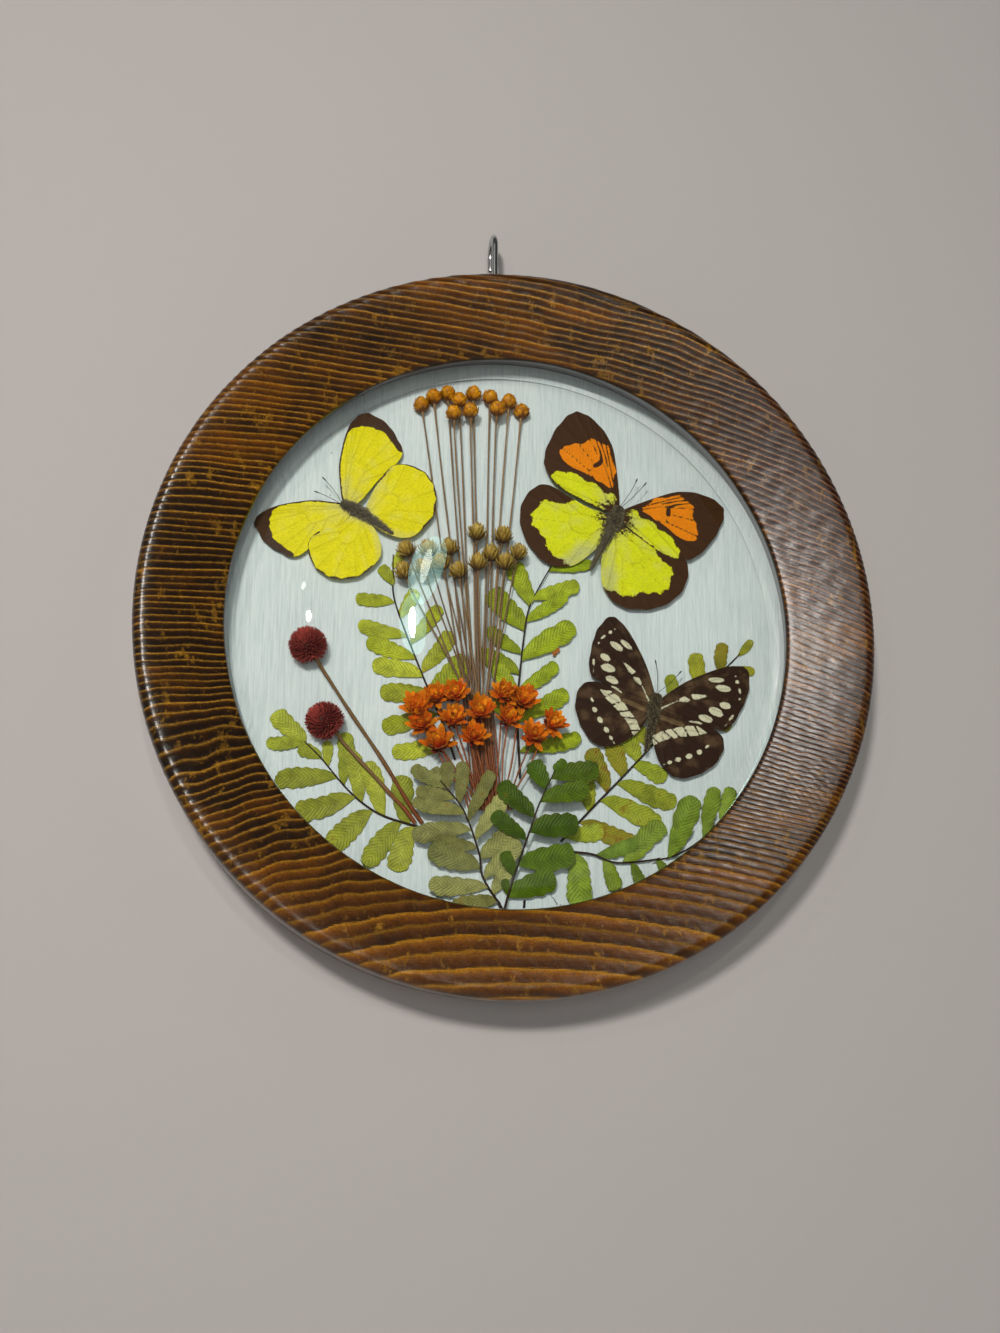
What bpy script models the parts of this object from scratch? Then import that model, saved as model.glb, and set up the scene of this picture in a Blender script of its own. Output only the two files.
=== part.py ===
"""Round wall picture: butterflies, dried flowers and ferns under convex glass in a turned wooden ring.

Metres, +Z up. The front faces -Y and the wall is on the +Y side. The origin is the centre of the flat back.
Specimens are laid out by X and Z, and by their height above the silvery backing paper.
"""
import math

import bmesh
import bpy
import numpy as np

MM = 0.001

# Driving dimensions
RING_RADIUS = 100 * MM
OPENING_RADIUS = 76.8 * MM
GLASS_REBATE_RADIUS = 81.3 * MM
GLASS_REBATE_Y = -8.4 * MM
BACK_REBATE_RADIUS = 84.3 * MM
BACK_REBATE_Y = -4.0 * MM
GAP = 0.3 * MM

GLASS_THICKNESS = 1.8 * MM
GLASS_RISE = 11 * MM
GLASS_BULGE_RADIUS = 76.2 * MM
GLASS_ROUNDNESS = 2.6
GLASS_SHOULDER = 0.6

PAPER_THICKNESS = 0.3 * MM
PAPER_FACE_Y = BACK_REBATE_Y + GAP
# The paper's short left edge, as X and Z in millimetres: a strip of board shows beside it.
PAPER_CUT_EDGE = [(-61.5, 49.5), (-70.5, 35), (-75.2, 20), (-77.4, 4), (-77.2, -8)]
BOARD_BEVEL = 0.4 * MM

WIRE_RADIUS = 0.95 * MM
HOOK_X = -4.5 * MM
HOOK_Y = -12 * MM
HOOK_TOP_Z = 120 * MM
HOOK_BEND_RADIUS = 4.4 * MM
HOOK_HOLE_RADIUS = 1.3 * MM
HOOK_HOLE_DEPTH = 11 * MM
HOOK_FOOT_GAP = 1 * MM
HOOK_TIP_LENGTH = 4 * MM

RING_STEPS = 44
GLASS_STEPS = 36
GLASS_RINGS = 5
BOARD_STEPS = 36
PAPER_STEPS = 34
HOOK_BEND_STEPS = 8
WIRE_SIDES = 8
HOLE_SIDES = 12
BODY_SIDES = 7

WING_THICKNESS = 0.4 * MM
FERN_THICKNESS = 0.3 * MM
STALK_THICKNESS = 0.5 * MM
STALK_WIDTH = 0.6 * MM

# Wing outlines, as (along, across): along is 0 at the root and 1 at the tip, and across is positive at the
# fore edge. Both are shares of the wing's length.
YELLOW_FORE = [
    (0.00, 0.04), (0.20, 0.12), (0.43, 0.17), (0.75, 0.16), (0.92, 0.10), (1.00, 0.00),
    (0.95, -0.19), (0.82, -0.33), (0.63, -0.42), (0.32, -0.24), (0.05, -0.10),
]
YELLOW_HIND = [
    (0.00, 0.10), (0.30, 0.43), (0.61, 0.60), (0.90, 0.45), (1.01, 0.23), (1.00, 0.00),
    (0.84, -0.28), (0.48, -0.46), (0.19, -0.34), (0.02, -0.12),
]
ORANGE_FORE = [
    (0.02, 0.03), (0.30, 0.13), (0.60, 0.19), (0.83, 0.14), (0.98, 0.03), (0.99, -0.09),
    (0.88, -0.27), (0.70, -0.43), (0.55, -0.465), (0.35, -0.39), (0.05, -0.10),
]
ORANGE_HIND = [
    (0.00, 0.08), (0.18, 0.24), (0.34, 0.42), (0.54, 0.65), (0.73, 0.66), (0.92, 0.52),
    (1.02, 0.28), (1.00, 0.00), (0.87, -0.25), (0.63, -0.35), (0.38, -0.29), (0.13, -0.15),
]
BANDED_FORE = [
    (0.03, 0.03), (0.35, 0.105), (0.70, 0.11), (0.90, 0.075), (1.00, 0.00), (0.94, -0.175),
    (0.80, -0.32), (0.62, -0.445), (0.50, -0.46), (0.40, -0.38), (0.15, -0.21), (0.02, -0.06),
]
BANDED_HIND = [
    (0.02, 0.10), (0.18, 0.27), (0.36, 0.41), (0.70, 0.575), (0.90, 0.53), (1.02, 0.30),
    (1.01, 0.02), (0.90, -0.24), (0.70, -0.34), (0.42, -0.30), (0.15, -0.14),
]

# Each wing: outline, side (+1 right, -1 left), root X, root Z, length, direction in degrees, height at the
# root and at the tip. Each body: X, Z and radius from head to tail. Millimetres.
BUTTERFLIES = {
    "butterfly_yellow": {
        "colour": "#E3D52C",
        "height": 3.0,
        "body": [(-47.0, 34.9, 0.8), (-45.4, 34.0, 1.1), (-43.0, 33.0, 1.5), (-39.6, 31.0, 1.4), (-36.0, 28.8, 1.1),
                 (-32.2, 26.4, 0.5)],
        "wings": [
            (YELLOW_FORE, 1, -45.0, 34.4, 28.2, 80, 3.6, 2.0),
            (YELLOW_HIND, 1, -39.4, 31.4, 20.2, 20, 3.2, 3.2),
            (YELLOW_FORE, -1, -44.4, 33.0, 26.0, -169, 3.6, 1.6),
            (YELLOW_HIND, -1, -41.4, 30.9, 18.7, -107, 3.2, 2.8),
        ],
    },
    "butterfly_orange_tip": {
        "colour": "#D9D42E",
        "height": 3.2,
        "body": [(32.4, 37.6, 0.9), (31.7, 36.0, 1.3), (30.8, 33.6, 1.9), (29.2, 30.4, 1.7), (26.4, 24.6, 1.3),
                 (23.2, 18.2, 0.6)],
        "wings": [
            (ORANGE_FORE, -1, 31.1, 36.0, 31.9, 110, 3.5, 3.2),
            (ORANGE_FORE, 1, 32.0, 35.0, 31.0, 7, 3.5, 2.6),
            (ORANGE_HIND, -1, 29.6, 33.0, 24.6, -160, 3.1, 2.6),
            (ORANGE_HIND, 1, 30.4, 31.4, 25.1, -71, 3.1, 2.6),
        ],
    },
    "butterfly_banded": {
        "colour": "#3A2211",
        "height": 3.0,
        "body": [(41.8, -16.6, 0.8), (41.4, -18.2, 1.1), (40.8, -20.6, 1.6), (40.0, -24.2, 1.3), (39.0, -29.0, 0.9),
                 (38.0, -33.6, 0.5)],
        "wings": [
            (BANDED_FORE, -1, 40.9, -19.2, 27.1, 116, 3.3, 3.0),
            (BANDED_FORE, 1, 41.8, -19.9, 28.6, 23, 3.3, 2.4),
            (BANDED_HIND, -1, 40.4, -21.8, 20.4, -167, 2.9, 2.5),
            (BANDED_HIND, 1, 40.8, -22.4, 20.5, -53, 2.9, 2.5),
        ],
    },
}

# Each fern: the stalk's points as X and Z from its foot up, the height of its layer at the foot and further
# up, and its leaflets as (place along the stalk, length, angle in degrees, width). Angles are positive to the
# left. Millimetres.
FERNS = {
    "fern_left": {
        "heights": (0.3, 0.3),
        "stalk": [(-24.0, -54.5), (-33.0, -51.8), (-38.8, -48.5), (-44.0, -43.8), (-50.3, -36.5), (-54.9, -32.0)],
        "leaflets": [
            (0.03, 13, 82, 6.4), (0.12, 14.5, 65, 6), (0.33, 15, 71, 6.4), (0.48, 16, 58, 6),
            (0.66, 16, 50, 5.5), (0.83, 7, 20, 4), (0.98, 10.5, 45, 3.8), (0.98, 12, 2, 5.5),
            (0.76, 7, -36, 3), (0.59, 14.5, -45, 4.5), (0.42, 14.5, -41, 5), (0.24, 15.5, -49, 5.5),
            (0.06, 13.5, -61, 6),
        ],
    },
    "fern_centre_left": {
        "heights": (0.3, 0.3),
        "stalk": [(-14.3, -36.1), (-18.2, -25.2), (-24.7, -9.9), (-31.3, 7.5), (-32.0, 15.6), (-32.1, 21.4)],
        "leaflets": [
            (0.07, 16, 81, 5), (0.22, 16, 84, 5.3), (0.31, 14, 64, 5.3), (0.40, 14.5, 52, 5.3),
            (0.49, 14.5, 50, 5), (0.60, 14, 57, 4.4), (0.77, 11, 71, 3.9), (0.85, 6.5, 30, 3.6),
            (0.93, 6, -27, 2.8), (0.69, 9.5, -46, 3.9), (0.56, 14, -58, 4.2), (0.42, 14.5, -59, 5),
            (0.30, 15, -63, 6.5),
        ],
    },
    "fern_centre_right": {
        "heights": (1.1, 1.1),
        "stalk": [(3.4, -41.0), (2.7, -23.1), (3.3, -13.2), (5.6, 5.0), (8.6, 12.5), (14.3, 22.7)],
        "leaflets": [
            (0.92, 13.5, -47, 3.5), (0.77, 14.5, -43, 4.8), (0.67, 14.5, -45, 4.3), (0.50, 18.5, -48, 6.6),
            (0.35, 14.5, -47, 4.3), (0.23, 17, -58, 5.1), (0.11, 18, -79, 4.7), (0.74, 13.5, 37, 5.8),
            (0.63, 15, 48, 7), (0.53, 12, 63, 4.3), (0.44, 13, 67, 5.1), (0.34, 11, 38, 4.7),
            (0.25, 11, 52, 5),
        ],
    },
    "fern_right": {
        "heights": (0.3, 0.3),
        "stalk": [(14.6, -57.9), (22.6, -49.5), (36.9, -34.9), (49.6, -20.9), (57.1, -13.5), (66.9, -3.8)],
        "leaflets": [
            (0.15, 11, 49, 5.5), (0.25, 13, 64, 5.5), (0.33, 10, 58, 5.5), (0.41, 8, 61, 5),
            (0.48, 7, 65, 4), (0.64, 12.5, 47, 4), (0.77, 12, 49, 5), (0.88, 9.5, 37, 4),
            (0.98, 7, 0, 2.5), (0.39, 10, -62, 5), (0.30, 17.5, -63, 5.7), (0.21, 18, -64, 6),
            (0.10, 17, -68, 5.5), (0.02, 11, -36, 5), (0.75, 13, -86, 4.5), (0.89, 10, -38, 3),
        ],
    },
    "fern_lower_right": {
        "heights": (1.1, 1.1),
        "stalk": [(17.4, -60.6), (23.3, -61.2), (30.2, -63.3), (44.2, -61.4), (51.4, -57.9), (59.7, -50.9)],
        "leaflets": [
            (0.14, 12.5, 32, 4), (0.31, 16, 42, 6), (0.58, 18.5, 50, 6.4), (0.83, 14.5, 34, 4.5),
            (0.97, 10.5, 27, 4), (0.03, 14, -84, 6.9), (0.19, 9, -40, 4.5), (0.36, 8, -70, 3.5),
            (0.51, 5.5, -60, 3),
        ],
    },
    "fern_front_left": {
        "heights": (0.9, 5.3),
        "stalk": [(0.4, -77.8), (-6.6, -68.0), (-8.1, -61.3), (-12.5, -50.4), (-16.7, -45.0), (-18.8, -42.6)],
        "leaflets": [
            (0.12, 12.5, 56, 4.2), (0.23, 16, 54, 5), (0.36, 15, 62, 6.5), (0.49, 12, 62, 4),
            (0.61, 16, 71, 5), (0.72, 14.5, 51, 4.3), (0.84, 11, 39, 3.9), (0.93, 11, 21, 3.9),
            (0.98, 4.6, -5, 4), (0.92, 7.5, -38, 3.9), (0.80, 11.5, -40, 3.9), (0.67, 15, -47, 3.9),
            (0.54, 15.5, -53, 4.6), (0.42, 12.5, -59, 6), (0.29, 13.5, -72, 5.3), (0.17, 9.5, -63, 4.3),
        ],
    },
    "fern_front_right": {
        "heights": (1.9, 6.3),
        "stalk": [(-1.6, -77.6), (1.7, -66.6), (4.8, -57.0), (7.3, -49.7), (9.8, -44.1), (12.3, -39.2)],
        "leaflets": [
            (0.12, 14, -50, 6.7), (0.33, 15.5, -60, 7), (0.55, 13.5, -59, 6.7), (0.76, 14, -48, 5.7),
            (0.93, 13.5, -48, 6), (0.98, 4.6, -18, 3.2), (0.85, 8.5, 51, 5.3), (0.65, 13, 65, 5.5),
            (0.50, 11.5, 73, 4.6), (0.26, 7, 43, 3.5), (0.13, 4.5, 30, 2.5),
        ],
    },
}
FERN_FOOT_Z = -71
FERN_LEVEL_Z = -54

# Flower heads as X, Z and height of the middle of the head, in order from left to right round their bunch.
AMBER_HEADS = [
    (-24.8, 65.2, 2.4), (-21.4, 67.8, 2.4), (-17.4, 69.0, 2.4), (-15.8, 62.2, 5.0), (-14.2, 66.4, 4.4),
    (-11.0, 63.2, 5.0), (-10.0, 69.4, 2.4), (-5.2, 68.6, 2.4), (-3.4, 64.2, 5.0), (0.2, 67.2, 3.4),
    (4.0, 65.0, 2.4),
]
TAN_BACK_HEADS = [
    (-28.5, 21.1, 4.9), (-22.6, 21.4, 4.9), (-16.7, 22.2, 4.9), (-9.2, 26.9, 4.9), (-5.2, 21.0, 4.9),
    (-1.8, 26.4, 4.9), (2.4, 21.6, 4.9),
]
TAN_FRONT_HEADS = [
    (-29.4, 14.6, 5.65), (-23.8, 15.8, 5.65), (-18.8, 17.6, 5.65), (-14.2, 15.4, 5.65), (-8.9, 18.0, 5.65),
    (-1.2, 18.4, 5.65),
]
ORANGE_HEADS = [
    (-24.0, -27.6, 7.3), (-19.6, -32.7, 7.3), (-25.2, -22.9, 7.3), (-20.3, -20.0, 7.3), (-15.6, -25.9, 7.3),
    (-15.2, -19.0, 7.3), (-10.0, -30.5, 7.3), (-8.3, -23.7, 7.3), (-1.7, -18.8, 7.3), (-0.7, -25.5, 7.3),
    (3.3, -20.4, 7.3), (6.3, -30.0, 7.3), (11.4, -26.6, 7.3),
]
RED_HEADS = [(-49.7, -27.0, 4.9), (-54.8, -6.5, 4.9)]

# Each bunch: heads, head radius, stem radius, height of the stems' layer, the waist where the stems draw
# together (X of its middle, Z, spacing), their feet (the same), and a colour. Millimetres.
BUNCHES = {
    "amber_flower": (AMBER_HEADS, 2.0, 0.22, 2.15, (-8.3, -20.0, 0.76), (-5.5, -50.0, 0.76), "#C8820F"),
    "tan_flower_back": (TAN_BACK_HEADS, 2.1, 0.22, 2.9, (-8.3, -20.0, 0.95), (-5.5, -50.0, 0.9), "#A08A4A"),
    "tan_flower_front": (TAN_FRONT_HEADS, 2.1, 0.22, 3.65, (-8.3, -20.0, 1.05), (-5.5, -50.0, 0.9), "#A08A4A"),
    "orange_flower": (ORANGE_HEADS, 2.3, 0.22, 4.4, (-5.6, -46.0, 1.1), (-5.2, -50.0, 0.95), "#E8641A"),
    "red_flower": (RED_HEADS, 5.2, 0.45, 1.65, (-27.0, -49.5, 1.9), (-24.0, -53.6, 1.9), "#6E1F1A"),
}
HEAD_FLATNESS = {"red_flower": 0.86}
FLOWER_SIDES = 5
RED_FLOWER_SIDES = 9
NECK_RUN = 2.2

# How far each ring of a head is from its neck, and how wide it is, both as shares of the head's radius.
HEAD_PROFILE = [(0.30, 0.72), (1.00, 1.00), (1.85, 0.42)]


def clear_scene():
    for old in list(bpy.data.objects):
        bpy.data.objects.remove(old, do_unlink=True)


def linear(part):
    """One sRGB value from 0 to 1, as linear light."""
    return part / 12.92 if part <= 0.04045 else ((part + 0.055) / 1.055) ** 2.4


def material(name, colour, roughness=0.6, metallic=0.0, transmission=0.0):
    made = bpy.data.materials.get(name) or bpy.data.materials.new(name)
    made.use_nodes = True
    shader = made.node_tree.nodes["Principled BSDF"]
    red, green, blue = (linear(int(colour[i:i + 2], 16) / 255) for i in (1, 3, 5))
    shader.inputs["Base Color"].default_value = (red, green, blue, 1)
    shader.inputs["Roughness"].default_value = roughness
    shader.inputs["Metallic"].default_value = metallic
    shader.inputs["Transmission Weight"].default_value = transmission
    return made


def mesh_object(name, points, faces, finish, smooth=False):
    """An object of these points and faces, its faces turned outward."""
    mesh = bpy.data.meshes.new(name)
    mesh.from_pydata([tuple(point) for point in points], [], [tuple(face) for face in faces])
    work = bmesh.new()
    work.from_mesh(mesh)
    bmesh.ops.recalc_face_normals(work, faces=work.faces[:])
    work.to_mesh(mesh)
    work.free()
    mesh.materials.append(finish)
    if smooth:
        mesh.shade_smooth()
        mesh.set_sharp_from_angle(angle=math.radians(35))
    made = bpy.data.objects.new(name, mesh)
    bpy.context.scene.collection.objects.link(made)
    return made


def turned(name, profile, steps, finish):
    """A closed (radius, Y) profile carried round the Y axis. A point of radius 0 becomes one vertex."""
    points = []
    rows = []
    for radius, y in profile:
        if radius == 0:
            rows.append([len(points)] * steps)
            points.append((0, y, 0))
            continue
        rows.append(list(range(len(points), len(points) + steps)))
        for step in range(steps):
            angle = 2 * math.pi * step / steps
            points.append((radius * math.cos(angle), y, radius * math.sin(angle)))
    faces = []
    for row, after in zip(rows, rows[1:] + rows[:1]):
        if row[0] == row[1] and after[0] == after[1]:
            continue
        for step in range(steps):
            turn = (step + 1) % steps
            corners = [row[step], row[turn], after[turn], after[step]]
            faces.append(list(dict.fromkeys(corners)))
    return mesh_object(name, points, faces, finish, smooth=True)


def prism(outline, middle_height, thickness):
    """Points and faces of a flat slab: an (X, Z) outline in millimetres, at a height above the paper."""
    count = len(outline)
    points = []
    for side in (-1, 1):
        for number, (x, z) in enumerate(outline):
            height = middle_height[number] if isinstance(middle_height, list) else middle_height
            points.append((x * MM, PAPER_FACE_Y - height * MM + side * thickness / 2, z * MM))
    faces = [list(range(count)), list(range(2 * count - 1, count - 1, -1))]
    for i in range(count):
        after = (i + 1) % count
        faces.append([i, after, after + count, i + count])
    return points, faces


def swept(path, radii, sides, flatness=1.0):
    """Points and faces of a tube through path, of these radii, its ends closed. Flatness scales its depth."""
    path = [np.array(point, float) for point in path]
    points = []
    for i, (centre, radius) in enumerate(zip(path, radii)):
        along = path[min(i + 1, len(path) - 1)] - path[max(i - 1, 0)]
        along /= np.linalg.norm(along)
        across = np.cross(along, (1.0, 0.0, 0.0) if abs(along[0]) < 0.6 else (0.0, 0.0, 1.0))
        across /= np.linalg.norm(across)
        other = np.cross(along, across)
        for side in range(sides):
            angle = 2 * math.pi * side / sides
            offset = radius * (math.cos(angle) * across + math.sin(angle) * other)
            offset[1] *= flatness if radius > 2 * min(radii[:2]) else 1.0
            points.append(centre + offset)
    faces = [list(range(sides)), [(len(path) - 1) * sides + k for k in range(sides)]]
    for i in range(len(path) - 1):
        for side in range(sides):
            turn = (side + 1) % sides
            faces.append([i * sides + side, i * sides + turn, (i + 1) * sides + turn, (i + 1) * sides + side])
    return points, faces


def joined(name, shapes, finish):
    """One closed object: the Boolean union of the (points, faces) shapes, its faces made triangles."""
    first = mesh_object(name, *shapes[0], finish)
    points = []
    faces = []
    for more_points, more_faces in shapes[1:]:
        faces += [[corner + len(points) for corner in face] for face in more_faces]
        points += more_points
    others = mesh_object(name + "_others", points, faces, finish)
    union = first.modifiers.new("union", "BOOLEAN")
    union.operation = "UNION"
    union.object = others
    union.use_self = True
    graph = bpy.context.evaluated_depsgraph_get()
    mesh = bpy.data.meshes.new_from_object(first.evaluated_get(graph))
    first.modifiers.remove(union)
    work = bmesh.new()
    work.from_mesh(mesh)
    bmesh.ops.remove_doubles(work, verts=work.verts[:], dist=0.01 * MM)
    bmesh.ops.triangulate(work, faces=work.faces[:])
    work.to_mesh(mesh)
    work.free()
    first.data = mesh
    bpy.data.objects.remove(others, do_unlink=True)
    return first


def make_wood_ring():
    """The turned ring: rounded rim, face dished towards the opening, and two rebates at the back."""
    profile = [
        (98, 0), (100, -2.5), (100, -22), (99.5, -23.8), (98.4, -24.8), (96.8, -25),
        (92, -23.5), (86, -21.1), (80.5, -18.7), (77.6, -17.1),
    ]
    profile = [(radius * MM, y * MM) for radius, y in profile]
    profile += [
        (OPENING_RADIUS, -15.4 * MM), (OPENING_RADIUS, GLASS_REBATE_Y),
        (GLASS_REBATE_RADIUS, GLASS_REBATE_Y), (GLASS_REBATE_RADIUS, BACK_REBATE_Y),
        (BACK_REBATE_RADIUS, BACK_REBATE_Y), (BACK_REBATE_RADIUS, 0),
    ]
    ring = turned("wood_ring", profile, RING_STEPS, material("charred_softwood", "#4A2A0C", 0.55))
    path = [(HOOK_X, HOOK_Y, RING_RADIUS - HOOK_HOLE_DEPTH), (HOOK_X, HOOK_Y, HOOK_TOP_Z)]
    shape = swept(path, [HOOK_HOLE_RADIUS] * 2, HOLE_SIDES)
    cutter = mesh_object("hook_hole_cutter", *shape, ring.data.materials[0])
    cutter.hide_render = True
    cutter.display_type = "WIRE"
    cut = ring.modifiers.new("hook_hole", "BOOLEAN")
    cut.operation = "DIFFERENCE"
    cut.object = cutter


def bulge(radius, edge_radius):
    """How far the glass rises at a radius: full at the middle, falling ever faster to nothing at its edge."""
    share = min(radius / edge_radius, 1.0)
    return GLASS_RISE * (1 - share**GLASS_ROUNDNESS) ** GLASS_SHOULDER


def make_glass_dome():
    """A convex shell with a flat rim that lies in the ring's first rebate."""
    front_y = GLASS_REBATE_Y + GAP
    back_y = front_y + GLASS_THICKNESS
    rim_radius = GLASS_REBATE_RADIUS - 2 * GAP
    inner_radius = GLASS_BULGE_RADIUS - GLASS_THICKNESS
    shares = [math.sin(math.pi / 2 * i / GLASS_RINGS) for i in range(GLASS_RINGS)] + [0.99, 1.0]
    front = [(share * GLASS_BULGE_RADIUS, front_y - bulge(share * GLASS_BULGE_RADIUS, GLASS_BULGE_RADIUS))
             for share in shares]
    back = [(share * inner_radius, back_y - bulge(share * inner_radius, inner_radius)) for share in shares]
    profile = front + [(rim_radius, front_y), (rim_radius, back_y)] + back[::-1]
    turned("glass_dome", profile, GLASS_STEPS, material("clear_glass", "#F4FAF7", 0.03, transmission=1.0))


def make_backing():
    """The paper disc, cut short along its left edge, and the board behind it."""
    disc_radius = BACK_REBATE_RADIUS - 2 * GAP
    arc_start = math.atan2(PAPER_CUT_EDGE[-1][1], PAPER_CUT_EDGE[-1][0])
    arc_end = math.atan2(PAPER_CUT_EDGE[0][1], PAPER_CUT_EDGE[0][0])
    sweep = arc_end - arc_start + (2 * math.pi if arc_end < arc_start else 0)
    angles = [arc_start + sweep * i / PAPER_STEPS for i in range(PAPER_STEPS + 1)]
    outline = [(disc_radius / MM * math.cos(angle), disc_radius / MM * math.sin(angle)) for angle in angles]
    height = -PAPER_THICKNESS / MM / 2
    paper = prism(outline + PAPER_CUT_EDGE, height, PAPER_THICKNESS)
    mesh_object("silver_paper", *paper, material("silver_paper", "#CDDAD7", 0.4))
    board_front = PAPER_FACE_Y + PAPER_THICKNESS + GAP
    profile = [(0, 0), (disc_radius - BOARD_BEVEL, 0), (disc_radius, -BOARD_BEVEL), (disc_radius, board_front),
               (0, board_front)]
    turned("backing_board", profile, BOARD_STEPS, material("hardboard", "#8C7448", 0.8))


def make_hanging_hook():
    """A steel wire screwed into the ring's top edge, bent over towards the wall at its upper end."""
    middle_y = HOOK_Y + HOOK_BEND_RADIUS
    bend_z = HOOK_TOP_Z - WIRE_RADIUS - HOOK_BEND_RADIUS
    foot_z = RING_RADIUS - HOOK_HOLE_DEPTH + HOOK_FOOT_GAP
    path = [(HOOK_X, HOOK_Y, foot_z), (HOOK_X, HOOK_Y, bend_z - HOOK_TIP_LENGTH)]
    for i in range(HOOK_BEND_STEPS + 1):
        angle = math.pi * i / HOOK_BEND_STEPS
        path.append((HOOK_X, middle_y - HOOK_BEND_RADIUS * math.cos(angle),
                     bend_z + HOOK_BEND_RADIUS * math.sin(angle)))
    path.append((HOOK_X, middle_y + HOOK_BEND_RADIUS, bend_z - HOOK_TIP_LENGTH))
    shape = swept(path, [WIRE_RADIUS] * len(path), WIRE_SIDES)
    mesh_object("hanging_hook", *shape, material("bright_steel_wire", "#C9CBCC", 0.25, 1.0), smooth=True)


def placed_wing(outline, side, root_x, root_z, length, direction, root_height, tip_height):
    """The slab of one wing: its outline turned to its direction, its height running from root to tip."""
    turn = math.radians(direction)
    corners = []
    heights = []
    for along, across in outline:
        across *= side
        corners.append((root_x + length * (along * math.cos(turn) - across * math.sin(turn)),
                        root_z + length * (along * math.sin(turn) + across * math.cos(turn))))
        heights.append(root_height + (tip_height - root_height) * max(along, 0))
    return prism(corners, heights, WING_THICKNESS)


def make_butterflies():
    for name, plan in BUTTERFLIES.items():
        path = [(x * MM, PAPER_FACE_Y - plan["height"] * MM, z * MM) for x, z, _ in plan["body"]]
        body = swept(path, [radius * MM for _, _, radius in plan["body"]], BODY_SIDES)
        shapes = [body] + [placed_wing(*wing) for wing in plan["wings"]]
        joined(name, shapes, material(name + "_scales", plan["colour"], 0.7))


def smooth_path(points, steps):
    """A curve through the points: on each stretch, the cubic whose ends lean towards the next points along."""
    knots = np.array(points, float)
    knots = np.vstack([2 * knots[0] - knots[1], knots, 2 * knots[-1] - knots[-2]])
    curve = []
    for a, b, c, d in zip(knots, knots[1:], knots[2:], knots[3:]):
        for t in np.arange(steps) / steps:
            curve.append(0.5 * (2 * b + (c - a) * t + (2 * a - 5 * b + 4 * c - d) * t**2
                                + (3 * b - 3 * c + d - a) * t**3))
    return np.array(curve + [knots[-2]])


def leaflet_outline(base, direction, length, width):
    """A blunt oval from its base point, narrow where it joins the stalk."""
    along = np.array((math.cos(direction), math.sin(direction)))
    across = np.array((-along[1], along[0]))
    half = [(0.0, 0.04), (0.35, 0.44), (0.82, 0.42)]
    corners = half + [(1.0, 0.0)] + [(share, -wide) for share, wide in half[::-1]]
    return [tuple(base + along * share * length + across * wide * width) for share, wide in corners]


def lift_with_z(made, foot_height, level_height):
    """Raises a flat fern from its foot's height to its level height, evenly between two Z values."""
    count = len(made.data.vertices)
    points = np.empty(count * 3, np.float32)
    made.data.vertices.foreach_get("co", points)
    points = points.reshape(-1, 3)
    share = np.clip((points[:, 2] / MM - FERN_FOOT_Z) / (FERN_LEVEL_Z - FERN_FOOT_Z), 0, 1)
    points[:, 1] -= share * (level_height - foot_height) * MM
    made.data.vertices.foreach_set("co", points.ravel())
    made.data.update()


def make_ferns():
    finish = material("pressed_fern", "#8FA63C", 0.75)
    for name, plan in FERNS.items():
        foot_height, level_height = plan["heights"]
        middle = foot_height + STALK_THICKNESS / MM / 2
        curve = smooth_path(plan["stalk"], 2)
        leans = np.gradient(curve, axis=0)
        leans /= np.linalg.norm(leans, axis=1)[:, None]
        sides = np.column_stack([-leans[:, 1], leans[:, 0]]) * STALK_WIDTH / MM / 2
        stalk = [tuple(point) for point in np.vstack([curve + sides, (curve - sides)[::-1]])]
        shapes = [prism(stalk, middle, STALK_THICKNESS)]
        fine = smooth_path(plan["stalk"], 12)
        run = np.append(0, np.cumsum(np.linalg.norm(np.diff(fine, axis=0), axis=1)))
        for number, (place, length, angle, width) in enumerate(plan["leaflets"]):
            nearest = int(np.clip(np.searchsorted(run, place * run[-1]), 1, len(fine) - 2))
            lean = fine[nearest + 1] - fine[nearest - 1]
            direction = math.atan2(lean[1], lean[0]) + math.radians(angle)
            height = middle - 0.06 + 0.04 * (number % 4)
            outline = leaflet_outline(fine[nearest], direction, length, width)
            shapes.append(prism(outline, height, FERN_THICKNESS))
        frond = joined(name, shapes, finish)
        lift_with_z(frond, foot_height, level_height)


def spread(middle, spacing, count, number):
    """The X of one stem in a row of evenly spaced stems."""
    return middle + spacing * (number - (count - 1) / 2)


def make_flowers():
    """Each flower is one swept shape: a thin stem from its foot, through the waist, that swells into the head."""
    for bunch, (heads, head_radius, stem_radius, layer, waist, foot, colour) in BUNCHES.items():
        finish = material(bunch + "_dried", colour, 0.8)
        sides = RED_FLOWER_SIDES if bunch == "red_flower" else FLOWER_SIDES
        for number, (x, z, height) in enumerate(heads):
            row = [(spread(middle, spacing, len(heads), number), row_z, layer)
                   for middle, row_z, spacing in (foot, waist)]
            head = np.array((x, z, height))
            away = head[:2] - np.array(row[-1][:2])
            away /= np.linalg.norm(away)
            neck = np.array((*(head[:2] - away * head_radius), height))
            before = np.array((*(neck[:2] - away * NECK_RUN), layer))
            knots = row + [tuple(before), tuple(neck)]
            radii = [stem_radius] * len(knots)
            for distance, wide in HEAD_PROFILE:
                knots.append((*(neck[:2] + away * distance * head_radius), height))
                radii.append(wide * head_radius)
            path = [(px * MM, PAPER_FACE_Y - ph * MM, pz * MM) for px, pz, ph in knots]
            shape = swept(path, [radius * MM for radius in radii], sides, HEAD_FLATNESS.get(bunch, 1.0))
            mesh_object(f"{bunch}_{number + 1:02d}", *shape, finish, smooth=True)


def main():
    clear_scene()
    make_wood_ring()
    make_glass_dome()
    make_backing()
    make_hanging_hook()
    make_ferns()
    make_flowers()
    make_butterflies()


main()
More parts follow.
